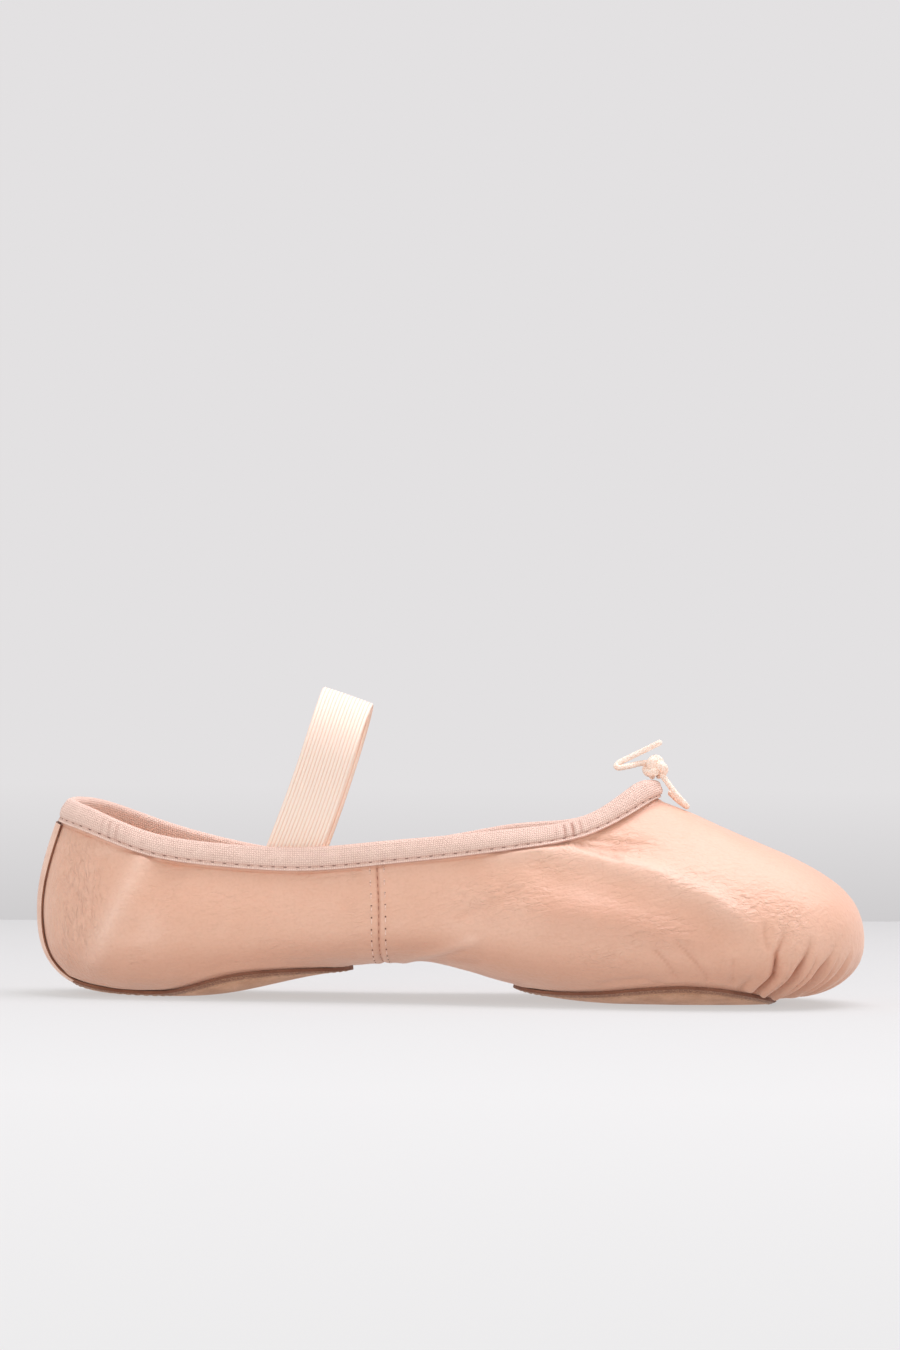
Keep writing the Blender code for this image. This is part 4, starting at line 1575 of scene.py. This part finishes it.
@dataclass
class ElasticStrap:
    """The elastic: a ribbed band in an upside-down U, sewn inside the collar, leaning forwards.

    Rise is from the collar to the band's top, tail is what goes down inside, place is the share of
    the last's length from the heel, and bow is how far the band bends forwards on its way up.
    """

    width: float = 15.0 * MM
    thickness: float = 1.0 * MM
    rise: float = 48.5 * MM
    tail: float = 11.0 * MM
    lean: float = math.radians(18.6)
    place: float = 0.306
    ribs: int = 15
    points_per_rib: int = 8
    rib_height: float = 0.18 * MM
    rows: int = 150
    bow: float = 0.9 * MM

    def spine(self) -> tuple[Array, Array, Array]:
        """The shape of the band.

        Returns:
            Its middle line, its direction across and its outward direction.
        """
        turn = LAST.turn_at_place(self.place, 3.0)
        tape_inside = LAST.offset(
            np.array(turn), np.array(3.0), -LAST.leather - LAST.gap - LAST.tape
        )
        top = LAST.point(np.array(turn), np.array(3.0))[2] + LAST.leather / 2 + LAST.gap + LAST.tape
        half = tape_inside[1] - 2 * LAST.gap
        base = LAST.suede + LAST.gap
        foot = np.array((base - LAST.length / 2 + self.place * (LAST.length - base), 0, top))
        straight = self.rise - half
        total = 2 * (straight + self.tail) + math.pi * half
        at = np.linspace(0, total, self.rows)
        leg = straight + self.tail
        angle = np.clip((at - leg) / half, 0, math.pi)
        side = -half * np.cos(angle)
        height = np.where(at > total - leg, total - at - self.tail, straight + half * np.sin(angle))
        height = np.where(at < leg, at - self.tail, height)
        rising = np.array((math.sin(self.lean), 0, math.cos(self.lean)))
        risen = np.clip((height + self.tail) / (self.rise + self.tail), 0, 1)
        bow = self.bow * np.sin(risen * math.pi)
        middle = foot + np.stack((bow, side, np.zeros(side.shape)), -1) + height[:, None] * rising
        across = np.broadcast_to(
            np.array((math.cos(self.lean), 0, -math.sin(self.lean))), middle.shape
        )
        along = np.gradient(middle, axis=0)
        outward = np.cross(along, across)
        away = (outward * (middle - foot - straight * rising)).sum(-1, keepdims=True)
        outward *= np.sign(away + 1e-9)
        return middle, across, outward / np.linalg.norm(outward, axis=-1, keepdims=True)

    def build(self) -> bpy.types.Object:
        """Makes the band with ribs on both faces.

        Returns:
            The piece.
        """
        middle, across, outward = self.spine()
        count = self.ribs * self.points_per_rib
        part = np.linspace(-0.5, 0.5, count + 1)
        rib = np.abs(np.sin((part + 0.5) * self.ribs * math.pi)) ** 0.7
        edge = 1 - smooth_step(0.475, 0.5, np.abs(part))
        at = measured(middle[None], 1)[0]
        curl = 0.25 * MM * noise_at(middle, 14 * MM, 6.0)
        narrow = 1 + 0.012 * np.sin(at / 9.0)
        flat = middle[None] + part[:, None, None] * self.width * (across * narrow[:, None])[None]
        flat = flat + (curl[None, :] * (2 * part[:, None]) ** 2)[..., None] * outward[None]
        pick = 0.03 * MM * np.sin(at * 2 * math.pi / 0.9)
        skin = (self.rib_height * (rib - 1))[:, None] + pick[None, :] * rib[:, None]
        # The band thins to 0.4 mm at its two long edges
        full, rest = edge[:, None], 1 - edge[:, None]
        over = skin * full - 0.3 * MM * rest
        under = (self.thickness + skin) * full + 0.7 * MM * rest
        outer = flat + over[..., None] * outward[None]
        inner = flat - under[..., None] * outward[None]
        cloth = np.stack(np.broadcast_arrays((part * self.width / MM)[:, None], at[None]), -1)
        seen = np.cross(across[0], middle[1] - middle[0]) @ outward[0]
        if seen < 0:
            outer, inner, cloth = outer[::-1], inner[::-1], cloth[::-1]
        return Shell(
            "ribbed_elastic_strap", outer, inner, around=False, cloth=cloth, slots=(ELASTIC,)
        ).build()


@dataclass(frozen=True)
class CordTube:
    """A braided cord as a mesh tube along a path, with rounded ends."""

    name: str
    radius: float = 0.85 * MM
    sides: int = 20
    braid: float = 0.13
    pitch: float = 3.4 * MM

    def build(self, path: Array) -> bpy.types.Object:
        """Makes the tube.

        Args:
            path: Its middle line, in metres, evenly spaced.

        Returns:
            The tube.
        """
        along = np.gradient(path, axis=0)
        along /= np.linalg.norm(along, axis=-1, keepdims=True)
        side = np.zeros_like(path)
        start = np.cross(along[0], (0.0, 0.0, 1.0))
        if np.linalg.norm(start) < 0.1:
            start = np.cross(along[0], (0.0, 1.0, 0.0))
        side[0] = start / np.linalg.norm(start)
        for place in range(1, len(path)):
            turned = side[place - 1] - along[place] * (side[place - 1] @ along[place])
            side[place] = turned / np.linalg.norm(turned)
        other = np.cross(along, side)
        at = measured(path[None], 1)[0] * MM
        total = at[-1]
        to_end = 1 - np.minimum(at, total - at) / self.radius
        ends = np.sqrt(np.clip(1 - to_end.clip(0) ** 2, 0.02, 1))
        angle = np.linspace(0, 2 * math.pi, self.sides, endpoint=False)[:, None]
        spin = 2 * math.pi * at[None] / self.pitch
        strands = 0.5 * np.abs(np.cos(2 * angle + spin)) + 0.5 * np.abs(np.cos(2 * angle - spin))
        round_by = self.radius * ends[None] * (1 + self.braid * (strands - 1))
        ring = np.cos(angle)[..., None] * side[None] + np.sin(angle)[..., None] * other[None]
        points = path[None] + round_by[..., None] * ring
        sides, rows = points.shape[:2]
        quads = grid_quads(sides, rows, True).tolist()
        caps = [range((sides - 1) * rows, -1, -rows), range(rows - 1, sides * rows, rows)]
        mesh = bpy.data.meshes.new(self.name)
        mesh.from_pydata(points.reshape(-1, 3).tolist(), [], [*quads, *map(tuple, caps)])
        mesh.materials.append(material(CORD))
        mesh.shade_smooth()
        return add_object(self.name, mesh)


@dataclass
class DrawstringBow:
    """The drawstring at the throat: two strands that leave the casing through one knot.

    Each strand goes up through the knot, round in it, and out: one as a free end that folds back
    behind the knot, one as a loop that hangs in front on the vamp. The knot is a third piece of
    cord.
    """

    diameter: float = 1.7 * MM
    knot_size: tuple[float, float, float] = (7.4 * MM, 6.6 * MM, 7.0 * MM)
    # From the middle of the knot, in cord diameters, as in the part's source
    back_end: Route = (
        (-2.6, -0.4, 0.6), (-4.6, -1.4, 0.1), (-6.4, -2.0, -0.2), (-6.6, -1.2, 0.4),
        (-4.0, -0.7, 1.8), (-1.2, -0.4, 3.2), (1.1, -0.2, 4.4),
    )
    front_loop: Route = (
        (1.9, -0.8, -2.3), (3.1, -1.3, -3.9), (4.5, -1.6, -5.5), (5.5, -1.0, -6.6),
        (5.2, 0.3, -6.5), (3.9, 1.0, -5.6), (2.3, 0.9, -4.1),
    )

    def throat(self) -> Array:
        """The middle of the tape's top edge at the throat."""
        top = LAST.point(np.array(0.0), np.array(3.0))
        return top + np.array((-LAST.leather / 2, 0, LAST.leather / 2 + LAST.gap + LAST.tape))

    def middle(self) -> Array:
        """The middle of the knot."""
        return self.throat() + np.array((0, 0, LAST.gap + self.knot_size[2] / 2))

    def strand(self, route: Route, hand: float) -> Array:
        """The path of one strand, from the casing through the knot and out along its route.

        Args:
            route: Where it goes from the knot, in cord diameters.
            hand: 1 or -1, for the side on which it runs through the knot.

        Returns:
            The path.
        """
        inside = [
            (0.3 * hand, 0.25 * hand, -1.9), (0.9 * hand, 0.7, -1.1), (0.9 * hand, -0.8, -0.4),
            (-0.9 * hand, -0.8, 0.3), (-0.8 * hand, 0.7, 0.8), (0.5 * hand, 0.5, 0.9),
        ]
        points = np.array([*inside, *route], float) * self.diameter + self.middle()
        path = through_points(points, 90)
        for _ in range(5):
            path[1:-1] = (path[:-2] + 2 * path[1:-1] + path[2:]) / 4
        return path

    def knot_path(self) -> Array:
        """A trefoil, as the cord lies in an overhand knot, stretched to the knot's size.

        Returns:
            The path.
        """
        part = np.linspace(0, 2 * math.pi, 121)
        wide, tall = np.sin(part) + 2 * np.sin(2 * part), 2 * np.cos(2 * part) - np.cos(part)
        shape = np.stack((wide, -np.sin(3 * part), tall), -1)
        half = np.array(self.knot_size) / 2 - 1.35 * MM
        return self.middle() + shape / np.abs(shape).max(axis=0) * half

    def build(self) -> None:
        exit_point = self.middle() + np.array((0, 0, -1.9 * self.diameter))
        knot = CordTube("drawstring_overhand_knot", radius=1.5 * MM).build(self.knot_path())
        settle(knot, "cord", "drawstring_knot")
        for name, node, route, hand, with_pieces in (
            ("drawstring_free_end", "drawstring_end", self.back_end, 1.0, [knot]),
            ("drawstring_hanging_loop", "drawstring_loop", self.front_loop, -1.0, []),
        ):
            path = self.strand(route, hand)
            piece = settle(CordTube(name).build(path), "cord", node)


@dataclass(frozen=True)
class StitchRow:
    """Thread stitches along a path, set by Geometry Nodes."""

    name: str
    pitch: float
    length: float
    thickness: float
    finish: Finish = SEWING

    def tree(self) -> bpy.types.NodeTree:
        """The node tree: a path's edges in, a thread bead at every pitch out.

        Returns:
            The tree.
        """
        tree = bpy.data.node_groups.new(self.name, "GeometryNodeTree")
        tree.interface.new_socket("Path", in_out="INPUT", socket_type="NodeSocketGeometry")
        for name in ("Pitch", "Stitch length", "Thread thickness"):
            tree.interface.new_socket(name, in_out="INPUT", socket_type="NodeSocketFloat")
        tree.interface.new_socket("Stitches", in_out="OUTPUT", socket_type="NodeSocketGeometry")
        add = partial(add_node, tree)
        given = add("NodeGroupInput").outputs
        line = add("GeometryNodeMeshToCurve", {"Mesh": given["Path"]})
        places = add("GeometryNodeCurveToPoints", {
            "Curve": line, "Length": given["Pitch"],
        }, mode="LENGTH").outputs
        bead = add("GeometryNodeMeshUVSphere", {"Segments": 8, "Rings": 6, "Radius": 0.5})
        thick = given["Thread thickness"]
        size = add("ShaderNodeCombineXYZ", {0: thick, 1: thick, 2: given["Stitch length"]})
        thread = add("GeometryNodeTransform", {"Geometry": bead, "Scale": size})
        set_out = add("GeometryNodeInstanceOnPoints", {
            "Points": places["Points"], "Instance": thread, "Rotation": places["Rotation"],
        })
        real = add("GeometryNodeRealizeInstances", {0: set_out})
        smooth = add("GeometryNodeSetShadeSmooth", {0: real})
        dressed = add("GeometryNodeSetMaterial", {
            "Geometry": smooth, "Material": material(self.finish),
        })
        add("NodeGroupOutput", {"Stitches": dressed})
        return tree

    def build(self, paths: list[Array], closed: bool) -> bpy.types.Object:
        """Sets the stitches along the paths and turns them to plain mesh.

        Args:
            paths: The paths, in metres.
            closed: Whether each path runs back to its start.

        Returns:
            The piece.
        """
        mesh = bpy.data.meshes.new(self.name)
        points, edges = [], []
        for path in paths:
            start = len(points)
            points += path.tolist()
            edges += [(start + place, start + place + 1) for place in range(len(path) - 1)]
            if closed:
                edges.append((start + len(path) - 1, start))
        mesh.from_pydata(points, edges, [])
        made = add_object(self.name, mesh)
        tree = self.tree()
        change = made.modifiers.new("stitches", "NODES")
        change.node_group = tree
        sizes = {
            "Pitch": self.pitch, "Stitch length": self.length, "Thread thickness": self.thickness
        }
        for item in tree.interface.items_tree:
            if item.in_out == "INPUT" and item.name in sizes:
                change[item.identifier] = sizes[item.name]
        bpy.context.view_layer.update()
        graph = bpy.context.evaluated_depsgraph_get()
        result = bpy.data.meshes.new_from_object(made.evaluated_get(graph))
        made.modifiers.remove(change)
        made.data = result
        return made


@dataclass(frozen=True)
class Lamp:
    """A soft square light: its place and side in metres, and its power in watts."""

    name: str
    place: tuple[float, float, float]
    size: float
    power: float
    colour: str


@dataclass
class Studio:
    """The pale sweep, the soft lights and the camera at the photograph's angle.

    Angles are in radians and lengths in metres.
    """

    elevation: float = math.radians(2.5)
    yaw: float = math.radians(2.0)
    roll: float = math.radians(0.75)
    distance: float = 1.600
    look: tuple[float, float, float] = (0.0, 0.0, 0.030)
    metre_per_pixel: float = 0.29 * MM
    frame_height: int = 1350
    shift_pixels: float = 220.0
    clearance: float = 0.15 * MM
    wall: float = 0.474
    wall_turn: float = math.radians(15)
    # Painted shade: the glowing floor darkens from floor_near towards the wall to floor_far, and the wall
    # from wall_tone down to wall_foot at its foot
    floor_near: str = "#fefefe"
    floor_far: str = "#d8d8d8"
    wall_foot: str = "#cfcdce"
    wall_tone: str = "#e3e1e2"
    floor_glow: float = 0.56
    floor_fade: float = -0.35
    wall_fade: float = 0.050
    half_width: float = 1.5
    extent: float = 3.0
    sensor: float = 36.0
    sky: str = "#f7f7f7"
    sky_strength: float = 0.565
    lamps: tuple[Lamp, ...] = (
        Lamp("overhead_softbox", (0.32, 0.22, 1.15), 1.1, 18.0, "#fff7fd"),
        Lamp("front_softbox", (-0.9, -1.2, 0.12), 0.9, 9.5, "#ffffff"),
        Lamp("toe_softbox", (1.2, -0.5, 0.35), 0.6, 2.8, "#ffffff"),
    )

    def camera(self) -> None:
        """Makes the camera."""
        level = math.cos(self.elevation)
        view = Vector(
            (-math.sin(self.yaw) * level, math.cos(self.yaw) * level, -math.sin(self.elevation))
        )
        right = Vector((math.cos(self.yaw), math.sin(self.yaw), 0))
        up = right.cross(view)
        turned_right = right * math.cos(self.roll) + up * math.sin(self.roll)
        turned_up = up * math.cos(self.roll) - right * math.sin(self.roll)
        lens = bpy.data.cameras.new("camera")
        lens.sensor_fit = "VERTICAL"
        lens.sensor_height = self.sensor
        lens.lens = self.sensor * self.distance / (self.frame_height * self.metre_per_pixel)
        lens.shift_y = self.shift_pixels / self.frame_height
        made = add_object("camera", lens)
        matrix = made.matrix_world
        for row in range(3):
            stand = self.look[row] - view[row] * self.distance
            for column, value in enumerate((turned_right[row], turned_up[row], -view[row], stand)):
                matrix[row][column] = value
        made.matrix_world = matrix
        bpy.context.scene.camera = made

    def sweep(self) -> None:
        """Makes the floor and the wall behind the shoe, which meet in a level line in the view."""
        slope = math.tan(self.wall_turn)
        half, far, low = self.half_width, self.extent, -self.clearance
        left, right = ((side, self.wall + side * slope) for side in (-half, half))
        floor = [(-half, -far, low), (half, -far, low), (*right, low), (*left, low)]
        wall = [(*left, low), (*right, low), (*right, far), (*left, far)]
        # Each glows with a painted gradient of shade: the floor darker towards the wall, the wall darker
        # at its foot
        tones = {
            "studio_floor": (self.floor_near, self.floor_far, self.floor_glow, "#8a8a8a"),
            "studio_wall": (self.wall_foot, self.wall_tone, 1.0, "#000000"),
        }
        for name, corners, axis, start, end in (
            ("studio_floor", floor, "Y", self.floor_fade, self.wall),
            ("studio_wall", wall, "Z", 0.0, self.wall_fade),
        ):
            dim, bright, glow, paper = tones[name]
            mesh = bpy.data.meshes.new(name)
            mesh.from_pydata(corners, [], [(0, 1, 2, 3)])
            made_of, tree, shader = Finish(f"lit_acrylic_{name}", paper, 0.9).start()
            add = partial(add_node, tree)
            place = add("ShaderNodeTexCoord").outputs["Object"]
            axes = add("ShaderNodeSeparateXYZ", {0: place}).outputs
            share = add("ShaderNodeMapRange", {
                "Value": axes[axis], "From Min": start, "From Max": end,
            })
            feed(tree, shader, {
                "Emission Color": add(
                    "ShaderNodeMix", {0: share, 6: dim, 7: bright}, data_type="RGBA"
                ),
                "Emission Strength": glow,
                "Specular IOR Level": 0.0,
            })
            # Seen from behind, the wall lets the view through to the shoe
            clear = add("ShaderNodeBsdfTransparent")
            behind = add("ShaderNodeNewGeometry").outputs["Backfacing"]
            shown = add("ShaderNodeMixShader", {0: behind, 1: shader, 2: clear})
            feed(tree, tree.nodes["Material Output"], {"Surface": shown})
            mesh.materials.append(made_of)
            made = add_object(name, mesh)

    def light(self, lamp: Lamp) -> None:
        """Makes a soft square light that faces the shoe.

        Args:
            lamp: The light.
        """
        data = bpy.data.lights.new(lamp.name, "AREA")
        data.shape = "SQUARE"
        data.size = lamp.size
        data.energy = lamp.power
        data.color = linear(lamp.colour)[:3]
        made = add_object(lamp.name, data)
        made.location = lamp.place
        aim = Vector(self.look) - Vector(lamp.place)
        made.rotation_euler = aim.to_track_quat("-Z", "Y").to_euler()

    def build(self) -> None:
        """Makes the sweep, the lights and the camera."""
        self.camera()
        self.sweep()
        world = bpy.data.worlds.new("studio")
        world.use_nodes = True
        background = world.node_tree.nodes["Background"]
        feed(world.node_tree, background, {0: self.sky, 1: self.sky_strength})
        bpy.context.scene.world = world
        bpy.context.scene.view_settings.view_transform = "Standard"
        for lamp in self.lamps:
            self.light(lamp)


def build_slipper() -> None:
    """Builds every piece of the slipper in order."""
    DrawstringBow().build()
    upper = Upper()
    settle(upper.build(), "leather", "upper")
    seam = StitchRow("side_seam_stitches", upper.stitch_pitch, 2.1 * MM, 0.34 * MM)
    settle(seam.build(upper.seam_paths(0.02 * MM, 0.0), False), "leather")
    # The holes are dark beads of painted shade, between the stitches, half a pitch on
    half = upper.stitch_pitch / 2
    holes = StitchRow("side_seam_needle_holes", 2 * half, 0.60 * MM, 0.55 * MM, NEEDLE_HOLE)
    settle(holes.build(upper.seam_paths(-0.10 * MM, half), False), "leather")
    joined = StitchRow("side_seam_joining_thread", 2.1 * MM, 1.3 * MM, 0.36 * MM, SEAM_THREAD)
    settle(joined.build(upper.seam_paths(0.0, 0.0, (0.0,)), False), "leather")
    soles = SuedePatches()
    settle(soles.build_patch("forefoot_suede_patch", True), "suede", "forefoot_sole")
    settle(soles.build_patch("heel_suede_patch", False), "suede", "heel_sole")
    settle(soles.build_tail(), "suede", "heel_sole")
    tape = CollarTape()
    settle(tape.build(), "canvas", "collar_tape")
    pads = Insoles()
    settle(pads.build_pad("forefoot_sock_lining", True), "cotton", "forefoot_insole")
    settle(pads.build_pad("heel_sock_lining", False), "cotton", "heel_insole")
    settle(ElasticStrap().build(), "elastic", "elastic_strap")
    topstitch = StitchRow("tape_topstitch", tape.stitch_pitch, 2.4 * MM, 0.36 * MM)
    settle(topstitch.build([tape.stitch_path(0.0, 0)], True), "canvas")
    # The tape's needle holes are dark beads of painted shade too
    pricks = StitchRow("tape_needle_holes", tape.stitch_pitch, 1.4 * MM, 0.42 * MM, NEEDLE_HOLE)
    settle(pricks.build([tape.stitch_path(-0.05 * MM, 2)], True), "canvas")
    sole_stitches = StitchRow("sole_stitches", soles.stitch_pitch, 1.8 * MM, 0.35 * MM, SOLE_THREAD)
    settle(sole_stitches.build([soles.edge_path(True), soles.edge_path(False)], False), "suede")


def main() -> None:
    """Loads the frame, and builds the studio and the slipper."""
    logging.basicConfig(level=logging.INFO, format="%(message)s")
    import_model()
    Studio().build()
    build_slipper()


if __name__ == "__main__":
    main()
